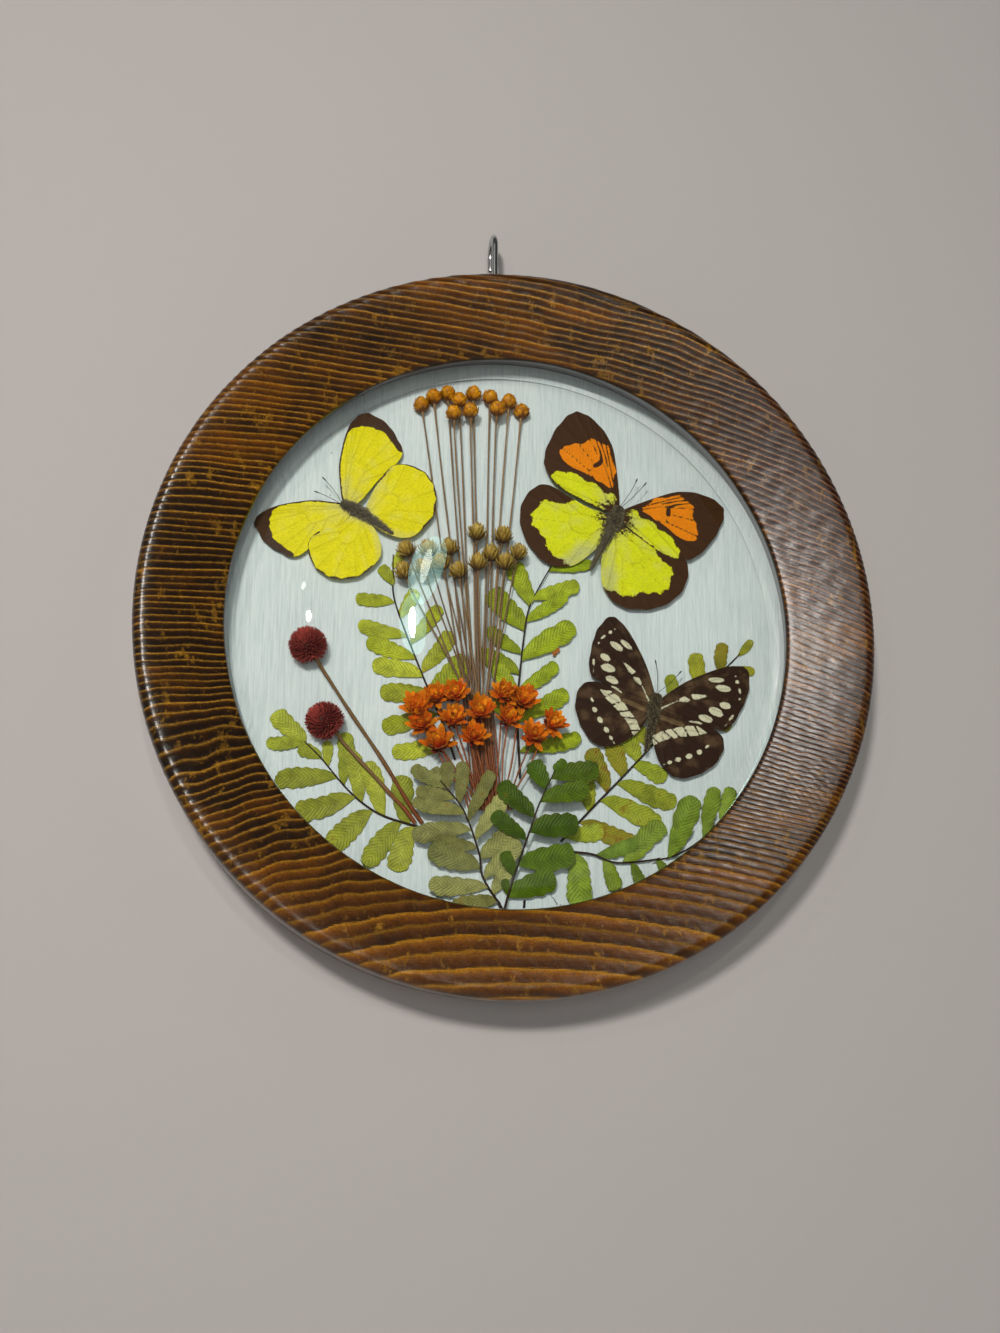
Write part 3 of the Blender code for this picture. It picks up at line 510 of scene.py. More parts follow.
def charred_softwood(settings):
    """Softwood, charred, wire brushed and waxed: black-brown hollows of soft wood between bare tan growth lines,
    golden where the charring is thin, with a low waxy shine on the raised lines."""
    made, tree, shader = start_material("charred_brushed_softwood", Roughness=0.45, Specular_IOR_Level=0.12,
                                        Coat_Weight=0.85, Coat_Roughness=0.29)
    where, zone = (add(tree, "SeparateXYZ", {"Vector": add(tree, "Attribute", attribute_name=name).outputs["Vector"]})
                   for name in ("place", "tone"))
    coordinates = add(tree, "TexCoord").outputs["Object"]
    # Fibres run along X, 0.4 mm across and about 6 mm long.
    drawn = add(tree, "Mapping", {"Vector": coordinates, "Scale": (170, 1800, 2400)})
    fibre = add(tree, "TexNoise", {"Vector": drawn, "Scale": 1.0, "Detail": 5.0, "Roughness": 0.65})
    # Grit of the char is 0.6 mm across, and patches of thinner char about 8 mm.
    grit = add(tree, "TexNoise", {"Vector": coordinates, "Scale": 1700.0, "Detail": 3.0, "Roughness": 0.7})
    patch = add(tree, "TexNoise", {"Vector": coordinates, "Scale": 120.0, "Detail": 5.0, "Roughness": 0.7})
    offset = add(tree, "Math", {0: fibre, 1: 0.42, 2: where.outputs["X"]}, operation="MULTIPLY_ADD")
    shifted = add(tree, "Math", {0: offset, 1: 0.21}, operation="SUBTRACT")
    share = add(tree, "Math", {0: shifted}, operation="FRACT")
    dark = add(tree, "ValToRGB", {"Fac": share}, stops=[
        (0.0, "#4A2C08"), (0.08, settings.wood_groove), (0.42, "#2C1701"), (0.64, "#402303"), (0.78, "#80560E"),
        (0.87, settings.wood_ridge), (0.96, "#5E3C0C")])
    red = add(tree, "ValToRGB", {"Fac": share}, stops=[
        (0.0, "#451E0C"), (0.10, "#260D05"), (0.48, "#34150A"), (0.68, "#4E2814"), (0.84, "#86552F"),
        (0.91, "#A87A50"), (0.98, "#623818")])
    gold = add(tree, "ValToRGB", {"Fac": share}, stops=[
        (0.0, "#6A450A"), (0.12, "#562C00"), (0.48, "#703E00"), (0.70, settings.wood_gold), (0.86, "#A66C0A"),
        (0.93, "#B67E1C"), (0.99, "#845810")])
    base = add(tree, "Mix", {"Factor": zone.outputs["Y"], 6: dark, 7: red}, **BLENDED)
    patchy = add(tree, "Math", {0: patch, 1: 1.5, 2: zone.outputs["X"]}, operation="MULTIPLY_ADD")
    thin = add(tree, "MapRange", {"Value": patchy, "From Min": 0.80, "From Max": 1.5})
    # Scrapes of the brush, about 4 mm wide and 5.5 mm high, that took the char off ridge and hollow alike.
    scraping = add(tree, "Mapping", {"Vector": coordinates, "Scale": (270, 90, 180)})
    scrape = add(tree, "TexNoise", {"Vector": scraping, "Scale": 1.0, "Detail": 4.0, "Roughness": 0.75})
    bare = add(tree, "MapRange", {"Value": scrape, "From Min": 0.57, "From Max": 0.67, "To Max": 0.75})
    rubbed = add(tree, "Mix", {"Factor": thin, 6: base, 7: gold}, **BLENDED)
    scraped = add(tree, "Mix", {"Factor": bare, 6: rubbed, 7: rgba("#A8761A")}, **BLENDED)
    speckle = add(tree, "MapRange", {"Value": grit, "From Min": 0.3, "From Max": 0.72, "To Min": 0.5, "To Max": 1.15})
    # Each growth line has its own lightness.
    number = add(tree, "Math", {0: shifted}, operation="FLOOR")
    own = add(tree, "TexWhiteNoise", {"W": number}, noise_dimensions="1D")
    lightness = add(tree, "MapRange", {"Value": own.outputs["Value"], "To Min": 0.55, "To Max": 1.12})
    # The inside edge is darkest, and painted shade darkens the side and the face's outer edge.
    side_shade_and_dark_edge_factor = add(tree, "MapRange", {"Value": zone.outputs["Z"], "To Min": 1.0, "To Max": 0.16})
    shade = add(tree, "Math", {0: speckle, 1: lightness}, operation="MULTIPLY")
    shade = add(tree, "Math", {0: shade, 1: side_shade_and_dark_edge_factor}, operation="MULTIPLY")
    colour = add(tree, "Mix", {"Factor": 1.0, 6: scraped, 7: shade}, **MULTIPLIED)
    rough = add(tree, "MapRange", {"Value": fibre, "To Min": 0.34, "To Max": 0.55})
    height = add(tree, "Math", {0: grit, 1: 0.5, 2: fibre}, operation="MULTIPLY_ADD")
    bump = add(tree, "Bump", {"Height": height, "Strength": 0.4, "Distance": 0.0003})
    waxed = add(tree, "Bump", {"Height": height, "Strength": 0.2, "Distance": 0.0003})
    connect(tree, shader, {"Base Color": colour, "Roughness": rough, "Normal": bump, "Coat Normal": waxed})
    return made


# ---------------------------------------------------------------------------------------------- glass, backing, hook

GLASS_THICKNESS = 1.8
GLASS_RISE = 11.0
GLASS_BULGE_RADIUS = 76.2
# Powers that shape the bulge: higher is flatter in the middle, and lower is steeper at the edge.
GLASS_SHOULDER = 3.2
GLASS_FOOT = 0.9
GLASS_EASE = 0.25
GLASS_REBATE_FACE_Y = -8.1
GLASS_RINGS = 44
GLASS_TURN_STEPS = 180


def bulge(edge_radius, rim_y):
    """One face of the glass as radius and Y. It rises by the whole rise times (1 - share to the shoulder's power) to
    the foot's power, where share is the radius over the bulge's edge: nearly flat in the middle, falling ever
    faster."""
    share = np.sin(np.linspace(0.002, math.pi / 2, GLASS_RINGS))
    return np.stack([share * edge_radius, rim_y - GLASS_RISE * (1 - share**GLASS_SHOULDER) ** GLASS_FOOT], 1)


def make_glass_shape():
    """The front face, the flat rim with eased edges and the back face as one profile, turned round the Y axis."""
    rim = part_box("glass_dome")[1].x / MM
    front, back = GLASS_REBATE_FACE_Y, GLASS_REBATE_FACE_Y + GLASS_THICKNESS
    flat = rim - GLASS_EASE
    profile = np.vstack([
        bulge(GLASS_BULGE_RADIUS, front),
        [(flat, front), (rim, front + GLASS_EASE), (rim, back - GLASS_EASE), (flat, back)],
        bulge(GLASS_BULGE_RADIUS - GLASS_THICKNESS, back)[::-1]])
    angle = full_turn(GLASS_TURN_STEPS)
    return lofted(turned(profile[:, :1], profile[:, 1:], angle)[None])


def clear_glass(settings):
    """Slumped soda-lime glass, fire polished: clear and mirror smooth, with a trace of green from its iron."""
    return start_material("clear_soda_lime_glass", Roughness=0.0, IOR=1.5, Transmission_Weight=1.0,
                          Base_Color=rgba(settings.glass_tint))[0]


def pearl_paper(settings):
    """Pearl coated paper: a silvery satin with fine upright fibres, tiny glittering grains and a few dark specks."""
    made, tree, shader = start_material("pearl_silver_paper", Roughness=0.6)
    coordinates = add(tree, "TexCoord").outputs["Object"]
    # Fibres stand upright, 0.4 mm wide and about 8 mm long.
    upright = add(tree, "Mapping", {"Vector": coordinates, "Scale": (2600, 400, 120)})
    fibre = add(tree, "TexNoise", {"Vector": upright, "Scale": 1.0, "Detail": 5.0, "Roughness": 0.7})
    cloud = add(tree, "TexNoise", {"Vector": coordinates, "Scale": 30.0, "Detail": 3.0})
    tint = add(tree, "ValToRGB", {"Fac": fibre},
               stops=[(0.30, "#C8D4D7"), (0.50, settings.paper_silver), (0.72, "#EDF4F4")])
    shade = add(tree, "MapRange", {"Value": cloud, **NOISE_RANGE, "To Min": 0.94, "To Max": 1.04})
    tinted = add(tree, "Mix", {"Factor": 1.0, 6: tint, 7: shade}, **MULTIPLIED)
    # Specks about 0.4 mm across, in one cell of twenty.
    cells = add(tree, "TexVoronoi", {"Vector": coordinates, "Scale": 220.0})
    near = add(tree, "Math", {0: cells, 1: 0.04}, operation="LESS_THAN")
    pick = add(tree, "SeparateXYZ", {"Vector": cells.outputs["Color"]})
    chosen = add(tree, "Math", {0: pick.outputs["X"], 1: 0.05}, operation="LESS_THAN")
    speck = add(tree, "Math", {0: near, 1: chosen}, operation="MULTIPLY")
    colour = add(tree, "Mix", {"Factor": speck, 6: tinted, 7: rgba("#7A7466")}, **BLENDED)
    # Glittering grains 0.8 mm across, drawn coarser than real mica so that they show.
    grains = add(tree, "TexVoronoi", {"Vector": coordinates, "Scale": 1250.0})
    sparkle = add(tree, "SeparateXYZ", {"Vector": grains.outputs["Color"]})
    rough = add(tree, "MapRange", {"Value": sparkle.outputs["Y"], "From Min": 0.8, "To Min": 0.62, "To Max": 0.4})
    height = add(tree, "Math", {0: sparkle.outputs["X"], 1: 0.25, 2: fibre}, operation="MULTIPLY_ADD")
    bump = add(tree, "Bump", {"Height": height, "Strength": 0.25, "Distance": 0.0002})
    connect(tree, shader, {"Base Color": colour, "Roughness": rough, "Normal": bump})
    return made


def pressed_hardboard(settings):
    """Pressed hardboard: brown wood fibre felted every way, in darker and paler bundles, quite matt."""
    made, tree, shader = start_material("pressed_hardboard", Roughness=0.8)
    coordinates = add(tree, "TexCoord").outputs["Object"]
    # Bundles of fibre are 1.2 mm across, and the board clouds over about 18 mm.
    felt = add(tree, "TexNoise", {"Vector": coordinates, "Scale": 800.0, "Detail": 6.0, "Roughness": 0.7,
                                  "Distortion": 1.5})
    cloud = add(tree, "TexNoise", {"Vector": coordinates, "Scale": 55.0, "Detail": 3.0})
    tint = add(tree, "ValToRGB", {"Fac": felt},
               stops=[(0.28, "#5C4824"), (0.50, settings.hardboard), (0.78, "#BCA878")])
    shade = add(tree, "MapRange", {"Value": cloud, **NOISE_RANGE, "To Min": 0.8, "To Max": 1.1})
    colour = add(tree, "Mix", {"Factor": 1.0, 6: tint, 7: shade}, **MULTIPLIED)
    bump = add(tree, "Bump", {"Height": felt, "Strength": 0.5, "Distance": 0.0003})
    connect(tree, shader, {"Base Color": colour, "Normal": bump})
    return made


HOOK_BEND_RADIUS = 4.4
HOOK_TIP_LENGTH = 4.0


def make_hook_shape():
    """A circle carried up a straight line, round a half turn towards the wall and down to a rounded end."""
    low, high = (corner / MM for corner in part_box("hanging_hook"))
    radius = (high.x - low.x) / 2
    x, front, bend = (low.x + high.x) / 2, low.y + radius, high.z - radius - HOOK_BEND_RADIUS
    turn = np.linspace(0, math.pi, 40)
    arc = np.stack([np.full(40, x), front + HOOK_BEND_RADIUS * (1 - np.cos(turn)),
                    bend + HOOK_BEND_RADIUS * np.sin(turn)], 1)
    foot = np.array([(x, front, low.z + share * (bend - low.z)) for share in np.linspace(0, 0.98, 30)])
    end = bend - HOOK_TIP_LENGTH
    tip = np.array([(x, arc[-1, 1], z) for z in (bend - 1, bend - 2, end + 0.8, end + 0.45, end + 0.15, end)])
    path = np.vstack([foot, arc, tip])
    radii = np.full(len(path), radius)
    radii[-4:] = radius * np.array([1.0, 0.93, 0.65, 0.15])
    return lofted(tube(path[None], radii[None], 24, reference=(1, 0, 0)))


def drawn_steel_wire(settings):
    """Drawn steel wire: bright metal with fine lines along it from the die."""
    made, tree, shader = start_material("drawn_steel_wire", Metallic=1.0, Roughness=0.22)
    coordinates = add(tree, "TexCoord").outputs["Object"]
    # Die lines 0.15 mm apart, drawn coarser than real ones so that they show.
    along = add(tree, "Mapping", {"Vector": coordinates, "Scale": (6500, 6500, 70)})
    lines = add(tree, "TexNoise", {"Vector": along, "Scale": 1.0, "Detail": 3.0})
    tint = add(tree, "ValToRGB", {"Fac": lines}, stops=[(0.3, "#9EA0A2"), (0.55, settings.wire), (0.75, "#E2E4E4")])
    rough = add(tree, "MapRange", {"Value": lines, "To Min": 0.14, "To Max": 0.34})
    connect(tree, shader, {"Base Color": tint, "Roughness": rough})
    return made


# ---------------------------------------------------------------------------------------------- dried plants

def layer_height(z, heights):
    """A front fern rises from its foot's height to its level height, evenly between two Z values."""
    share = np.clip((z - FERN_FOOT_Z) / (FERN_LEVEL_Z - FERN_FOOT_Z), 0, 1)
    return heights[0] + share * (heights[1] - heights[0])


def make_fern_shape(name, settings):
    """The stalk is a tapered tube. Each leaflet is a thin lens carried along a bent midline: it widens quickly on the
    side towards the frond's tip and slowly on the other, holds, and rounds off bluntly, with a toothed rim."""
    young, old, browned, heights, stalk, leaflets = FERNS[name]
    draw = np.random.default_rng(len(name) * 31 + len(leaflets))
    young, old, brown = rgb(young), rgb(old), rgb("#8A5E1C")
    curve = smooth(stalk, 12)
    height = layer_height(curve[:, 1], heights) + 0.3
    path = laid(curve[:, 0], height, curve[:, 1])
    radii = np.linspace(0.33, 0.16, len(path))
    stalk = lofted(tube(path[None], radii[None], 8), place=0.0, tint=rgb("#33221C"), tone=0.0)
    places, lengths, angles, widths = np.array(leaflets, float).T
    count = len(places)
    run = runs(curve)
    at, ahead, back = (
        np.stack([np.interp(places * run[-1] + shift, run, curve[:, i]) for i in range(2)], 1)
        for shift in (0, 0.5, -0.5))
    lean = np.arctan2(ahead[:, 1] - back[:, 1], ahead[:, 0] - back[:, 0]) + np.radians(angles)
    s = (0.5 - 0.5 * np.cos(np.linspace(0, math.pi, LEAF_ROWS)))[None, :]
    chance = draw.uniform(-1, 1, (count, 6))
    beat, start, wave, other_wave, curled = (chance[:, i, None, None] for i in range(1, 6))
    bend = lean[:, None] + 0.30 * chance[:, :1] * (s - 0.35)
    step = np.diff(s, axis=1, prepend=0) * lengths[:, None]
    middle_x = at[:, :1] + np.cumsum(np.cos(bend) * step, axis=1)
    middle_z = at[:, 1:] + np.cumsum(np.sin(bend) * step, axis=1)
    wide_side = np.interp(s, [0, 0.04, 0.10, 0.20, 0.38, 0.62, 0.80, 0.92, 0.975, 1.0],
                          [0.05, 0.20, 0.56, 0.84, 0.98, 1.0, 0.98, 0.86, 0.62, 0.18])
    slim_side = np.interp(s, [0, 0.06, 0.16, 0.32, 0.50, 0.68, 0.82, 0.92, 0.975, 1.0],
                          [0.05, 0.12, 0.34, 0.66, 0.90, 1.0, 0.98, 0.84, 0.58, 0.18])
    around = full_turn(LEAF_COLUMNS)
    across = np.cos(around) * np.ones((count, LEAF_ROWS, 1))
    side = np.sign(across)
    outline = np.where(across * np.sign(angles)[:, None, None] < 0, wide_side[..., None], slim_side[..., None])
    teeth = np.abs(np.sin(math.pi * (5 + 1.5 * beat) * s[..., None] + 0.9 * side + 2 * start))
    ragged = 0.08 * wobble(s[..., None] * 11 + wave * 9, side * 2 + other_wave * 5, 23)
    rough = 0.17 * (teeth - 0.75) * smooth_step(0.15, 0.45, s)[..., None] + ragged
    wide = widths[:, None, None] / 2 * outline * (1 + rough * np.abs(across) ** 3)
    offset = across * wide
    x = middle_x[..., None] - np.sin(bend)[..., None] * offset
    z = middle_z[..., None] + np.cos(bend)[..., None] * offset
    lift = 0.04 * (np.arange(count) % 4)[:, None, None] + 0.16
    curl = 0.36 * (across**2 - 0.4) * smooth_step(0.1, 0.6, s)[..., None] * curled
    crumple = 0.34 if "front" in name else 0.18
    ripple = crumple * wobble(x / 1.7, z / 1.7, 29) + 0.35 * s[..., None] ** 2 * np.abs(wave)
    crease = -0.05 * np.exp(-(across * wide / 0.35) ** 2)
    thick = settings.leaf_thickness / MM / 2 * (0.35 + 0.65 * np.sqrt(np.clip(1 - across**2, 0, 1)))
    h = layer_height(z, heights) + np.maximum(0.12, lift + curl + ripple + crease) + np.sin(around) * thick
    points = laid(x, h, z)
    place = np.stack(np.broadcast_arrays(s[..., None] * lengths[:, None, None], across,
                                         draw.uniform(0, 1, (count, 1, 1))), -1)
    age = np.clip(0.5 + 0.5 * chance[:, 2], 0, 1)[:, None]
    spoilt = np.clip(browned * draw.uniform(0, 1.3, (count, 1)), 0, 1)
    tint = (young * age + old * (1 - age)) * draw.uniform(0.78, 1.22, (count, 1))
    tint = (tint * (1 - 0.45 * spoilt) + brown * 0.45 * spoilt)[:, None, None, :]
    leaves = lofted(points, place=place, tint=tint, tone=spoilt[:, None, None])
    return merged([stalk, leaves] + (make_crumbs() if name == "fern_front_right" else []))


def make_crumbs():
    """Bits fallen on the paper: a brown flake with a ragged rim, a short black stub and a fine curled hair."""
    turn = full_turn(14)
    reach, rise = np.array([[0.02, 0.7, 1.0, 0.7, 0.02], [0.1, 0.1, 0.22, 0.34, 0.34]])[..., None]
    ragged = reach * (1 + 0.3 * np.sin(3 * turn + 1) + 0.15 * np.sin(7 * turn))
    flake = laid(13.5 + 1.1 * ragged * np.cos(turn), 1.0 + rise, -4.8 + 1.4 * ragged * np.sin(turn))
    s = np.linspace(0, 1, 12)
    hair = laid(11.8 + 5.4 * s, 0.25, -72.2 - 2.6 * s - 0.9 * np.sin(math.pi * s))
    stub = laid(4.4 + 0.3 * s, 0.5, -75.0 + 1.6 * s)
    return [lofted(points, place=0.0, tint=rgb(colour), tone=0.0)
            for points, colour in ((flake[None], "#A8642C"), (tube(hair[None], 0.07 + 0 * s[None], 5), "#4A3A2C"),
                                   (tube(stub[None], 0.32 + 0 * s[None], 8), "#1C1612"))]


def pressed_leaf():
    """A pressed and dried fern leaf: thin and matt, faded unevenly, with fine veins running out from the stalk, a
    browner rim and brown patches on the older leaflets."""
    made, tree, shader = start_material("pressed_fern_leaf", Roughness=0.5, Specular_IOR_Level=0.14)
    place = add(tree, "Attribute", attribute_name="place")
    tint = add(tree, "Attribute", attribute_name="tint")
    tone = add(tree, "Attribute", attribute_name="tone")
    where = add(tree, "SeparateXYZ", {"Vector": place.outputs["Vector"]})
    zone = add(tree, "SeparateXYZ", {"Vector": tone.outputs["Vector"]})
    coordinates = add(tree, "TexCoord").outputs["Object"]
    # Faded blotches are 3 mm across, and the grain of the leaf about 0.7 mm.
    blotch = add(tree, "TexNoise", {"Vector": coordinates, "Scale": 330.0, "Detail": 4.0, "Roughness": 0.6})
    fine = add(tree, "TexNoise", {"Vector": coordinates, "Scale": 1500.0, "Detail": 3.0, "Roughness": 0.7})
    # Veins fan out about 1.1 mm apart and turn towards the rim.
    reach = add(tree, "Math", {0: where.outputs["Y"]}, operation="ABSOLUTE")
    spread = add(tree, "Math", {0: reach, 1: -3.2, 2: where.outputs["X"]}, operation="MULTIPLY_ADD")
    shaken = add(tree, "Math", {0: blotch, 1: 1.2, 2: spread}, operation="MULTIPLY_ADD")
    paced = add(tree, "Math", {0: shaken, 1: 5.6}, operation="MULTIPLY")
    wave = add(tree, "Math", {0: paced}, operation="SINE")
    vein = add(tree, "MapRange", {"Value": wave, "From Min": 0.45, "To Min": 1.0, "To Max": 0.62})
    mottle = add(tree, "MapRange", {"Value": blotch, **NOISE_RANGE, "To Min": 0.62, "To Max": 1.28})
    grain = add(tree, "MapRange", {"Value": fine, **NOISE_RANGE, "To Min": 0.88, "To Max": 1.12})
    shade = add(tree, "Math", {0: vein, 1: mottle}, operation="MULTIPLY")
    shade = add(tree, "Math", {0: shade, 1: grain}, operation="MULTIPLY")
    leafy = add(tree, "Mix", {"Factor": 1.0, 6: tint, 7: shade}, **MULTIPLIED)
    rim = add(tree, "MapRange", {"Value": reach, "From Min": 0.74, "From Max": 1.0, "To Max": 0.3})
    edged = add(tree, "Mix", {"Factor": rim, 6: leafy, 7: rgba("#5C5E14")}, **BLENDED)
    old = add(tree, "Math", {0: zone.outputs["X"], 1: 0.30, 2: blotch}, operation="MULTIPLY_ADD")
    spoilt = add(tree, "MapRange", {"Value": old, "From Min": 0.68, "From Max": 0.80, "To Max": 0.75})
    colour = add(tree, "Mix", {"Factor": spoilt, 6: edged, 7: rgba("#7E5212")}, **BLENDED)
    bump = add(tree, "Bump", {"Height": wave, "Strength": 0.5, "Distance": 0.0001})
    connect(tree, shader, {"Base Color": colour, "Normal": bump})
    return made


def scale_petals(centre, axis, plan, draw):
    """Petals or scales on a ball, in a sunflower spiral round its axis. Each is a thin lens along a line that
    starts on the ball, leaves it at the lift angle and bends back over it. Width is the sine of its length's share
    raised to a power, so a high power gives points."""
    count = plan["count"]
    number = np.arange(count)
    turn = number * math.pi * (3 - math.sqrt(5)) + draw.uniform(0, 6)
    low, high = plan["from_to"]
    polar = np.arccos(np.clip(math.cos(low) + (math.cos(high) - math.cos(low)) * (number + 0.5) / count, -1, 1))
    polar = polar + draw.uniform(-1, 1, count) * plan.get("stray", 0.05)
    side_axis = np.cross(axis, (0.3, 0.2, 0.9))
    side_axis /= np.linalg.norm(side_axis)
    other_axis = np.cross(axis, side_axis)
    radial = side_axis * np.cos(turn)[:, None] + other_axis * np.sin(turn)[:, None]
    out = axis * np.cos(polar)[:, None] + radial * np.sin(polar)[:, None]
    up = axis * np.sin(polar)[:, None] - radial * np.cos(polar)[:, None]
    lift = plan["lift"] + draw.uniform(-1, 1, count) * plan.get("lift_stray", 0.1)
    along = up * np.cos(lift)[:, None] + out * np.sin(lift)[:, None]
    face = out * np.cos(lift)[:, None] - up * np.sin(lift)[:, None]
    across = np.cross(along, face)
    length = plan["length"] * draw.uniform(0.82, 1.15, count)
    rows, columns = plan.get("rows", 6), plan.get("columns", 6)
    s = np.linspace(0, 1, rows)[None, :]
    width = plan["width"] / 2 * (np.sin(math.pi * (0.10 + 0.86 * s)) ** plan.get("point", 0.8)) * np.ones((count, 1))
    middle = (centre + out * plan["radius"])[:, None] + along[:, None] * (s * length[:, None])[..., None]
    middle = middle + face[:, None] * (plan.get("bend", 0.0) * s**2 * length[:, None])[..., None]
    around = full_turn(columns)
    points = middle[:, :, None] + across[:, None, None] * (width[..., None] * np.cos(around))[..., None]
    fold = plan.get("fold", 0.0) * width[..., None] * np.cos(around) ** 2 - plan["thickness"] / 2 * np.sin(around)
    points = points + face[:, None, None] * fold[..., None]
    shade = draw.uniform(0, 1, count)
    start, end, other = (rgb(plan["colours"][i]) for i in (0, 1, -1))
    end = (end + (other - end) * draw.uniform(0, 1, (count, 1)))[:, None]
    blend = np.clip(s ** plan.get("colour_power", 1.0), 0, 1)[..., None]
    darker = (0.78 + 0.44 * shade)[:, None, None]
    tint = (start * (1 - blend) + end * blend) * darker
    return lofted(points, place=np.cos(around)[:, None], tint=tint[:, :, None, :])


def core_ball(centre, axis, radius, colour):
    """A ball's rings along its axis from its stem side to its top, each as wide as the circle there."""
    share = np.linspace(-0.98, 0.98, 9)
    path = centre + axis * (share * radius)[:, None]
    return lofted(tube(path[None], (radius * np.sqrt(1 - share**2))[None], 12, reference=(0.3, 0.2, 0.9)), place=0.0,
                  tint=rgb(colour))


AMBER_SCALES = {"count": 44, "from_to": (0.05, 2.35), "radius": 1.9, "length": 1.5, "width": 1.4, "thickness": 0.16,
                "lift": 0.22, "bend": -0.16, "point": 0.55, "fold": -0.15, "colours": ("#8A4A04", "#EAA414", "#CC8010"),
                "colour_power": 0.6}
TAN_CUP = {"count": 52, "from_to": (0.85, 2.5), "radius": 1.85, "length": 2.5, "width": 0.78, "thickness": 0.16,
           "lift": 0.20, "bend": -0.10, "point": 0.6, "fold": -0.2, "colours": ("#6A4818", "#D8B854", "#B08C34")}
TAN_TOP = {"count": 40, "from_to": (0.0, 0.95), "radius": 1.5, "length": 1.35, "width": 0.42, "thickness": 0.14,
           "lift": 1.35, "colours": ("#8E6C2E", "#E0CC8C"), "stray": 0.1}
ORANGE_OUTER = {"count": 20, "from_to": (1.05, 1.8), "radius": 1.0, "length": 3.9, "width": 1.9, "thickness": 0.12,
                "lift": 1.15, "lift_stray": 0.3, "bend": -0.26, "point": 0.6, "fold": -0.34, "stray": 0.15, "rows": 8,
                "colours": ("#C04A04", "#F8A012", "#EA6A08")}
ORANGE_INNER = {"count": 15, "from_to": (0.2, 1.0), "radius": 0.9, "length": 2.7, "width": 1.5, "thickness": 0.12,
                "lift": 1.35, "lift_stray": 0.3, "bend": -0.22, "point": 0.6, "fold": -0.35, "stray": 0.2, "rows": 8,
                "colours": ("#D86406", "#FFB01C", "#F07A08")}
ORANGE_CUP = {"count": 22, "from_to": (1.7, 2.85), "radius": 1.15, "length": 2.0, "width": 0.95, "thickness": 0.12,
              "lift": 0.35, "point": 0.7, "colours": ("#4A0E08", "#A8300A", "#701808")}
RED_SPIKES = {"count": 850, "from_to": (0.0, 2.75), "radius": 3.9, "length": 1.35, "width": 0.46, "thickness": 0.2,
              "lift": 1.15, "lift_stray": 0.35, "point": 0.7, "rows": 4, "columns": 4, "stray": 0.05,
              "colours": ("#4E1614", "#B44A40")}


def amber_head(centre, axis, draw):
    """A round button: overlapping broad scales in a spiral over a ball."""
    return [core_ball(centre, axis, 1.95, "#6E3E06"), scale_petals(centre, axis, AMBER_SCALES, draw)]


def tan_head(centre, axis, draw):
    """A goblet: upright narrow bracts over a ball, with a flat brush of pale points in its mouth."""
    return [core_ball(centre, axis, 1.85, "#4E381C"), scale_petals(centre, axis, TAN_CUP, draw),
            scale_petals(centre, axis, TAN_TOP, draw)]


def orange_head(centre, axis, draw):
    """A strawflower: two whorls of pointed papery petals over a cup of short dark ones."""
    centre = centre - 1.0 * axis
    size = draw.uniform(0.92, 1.12)
    grown = [{**plan, "length": plan["length"] * size, "width": plan["width"] * size}
             for plan in (ORANGE_OUTER, ORANGE_INNER, ORANGE_CUP)]
    return [core_ball(centre, axis, 1.15, "#7A2A0C")] + [scale_petals(centre, axis, plan, draw) for plan in grown]


def red_head(centre, axis, draw):
    """A globe: hundreds of small spikes standing out of a ball."""
    return [core_ball(centre, axis, 4.0, "#4A1410"), scale_petals(centre, axis, RED_SPIKES, draw)]


# Each bunch: heads, head maker, distance of a stem's neck from its head's middle, stem colour, stem width against the
# plain one, head's lean towards the viewer, height of the stems' layer, the waist where the stems draw together (X of
# its middle, Z, spacing), and their feet (same).
BUNCHES = {
    "amber_flower": (AMBER_HEADS, amber_head, 1.7, "#94744E", 1.0, 0.35, 2.15, (-8.3, -20.0, 0.76),
                     (-5.5, -50.0, 0.76)),
    "tan_flower_back": (TAN_BACK_HEADS, tan_head, 1.785, "#7C5E46", 1.0, 0.2, 2.9, (-8.3, -20.0, 0.95),
                        (-5.5, -50.0, 0.9)),
    "tan_flower_front": (TAN_FRONT_HEADS, tan_head, 1.785, "#8A6C4C", 1.0, 0.3, 3.65, (-8.3, -20.0, 1.05),
                         (-5.5, -50.0, 0.9)),
    "orange_flower": (ORANGE_HEADS, orange_head, 1.955, "#9A5630", 1.1, 2.4, 4.4, (-5.6, -46.0, 1.1),
                      (-5.2, -50.0, 0.95)),
    "red_flower": (RED_HEADS, red_head, 4.42, "#7C5E3C", 2.1, 0.1, 1.65, (-27.0, -49.5, 1.9), (-24.0, -53.6, 1.9)),
}
NECK_RUN = 2.2
STEM_ROWS = 80


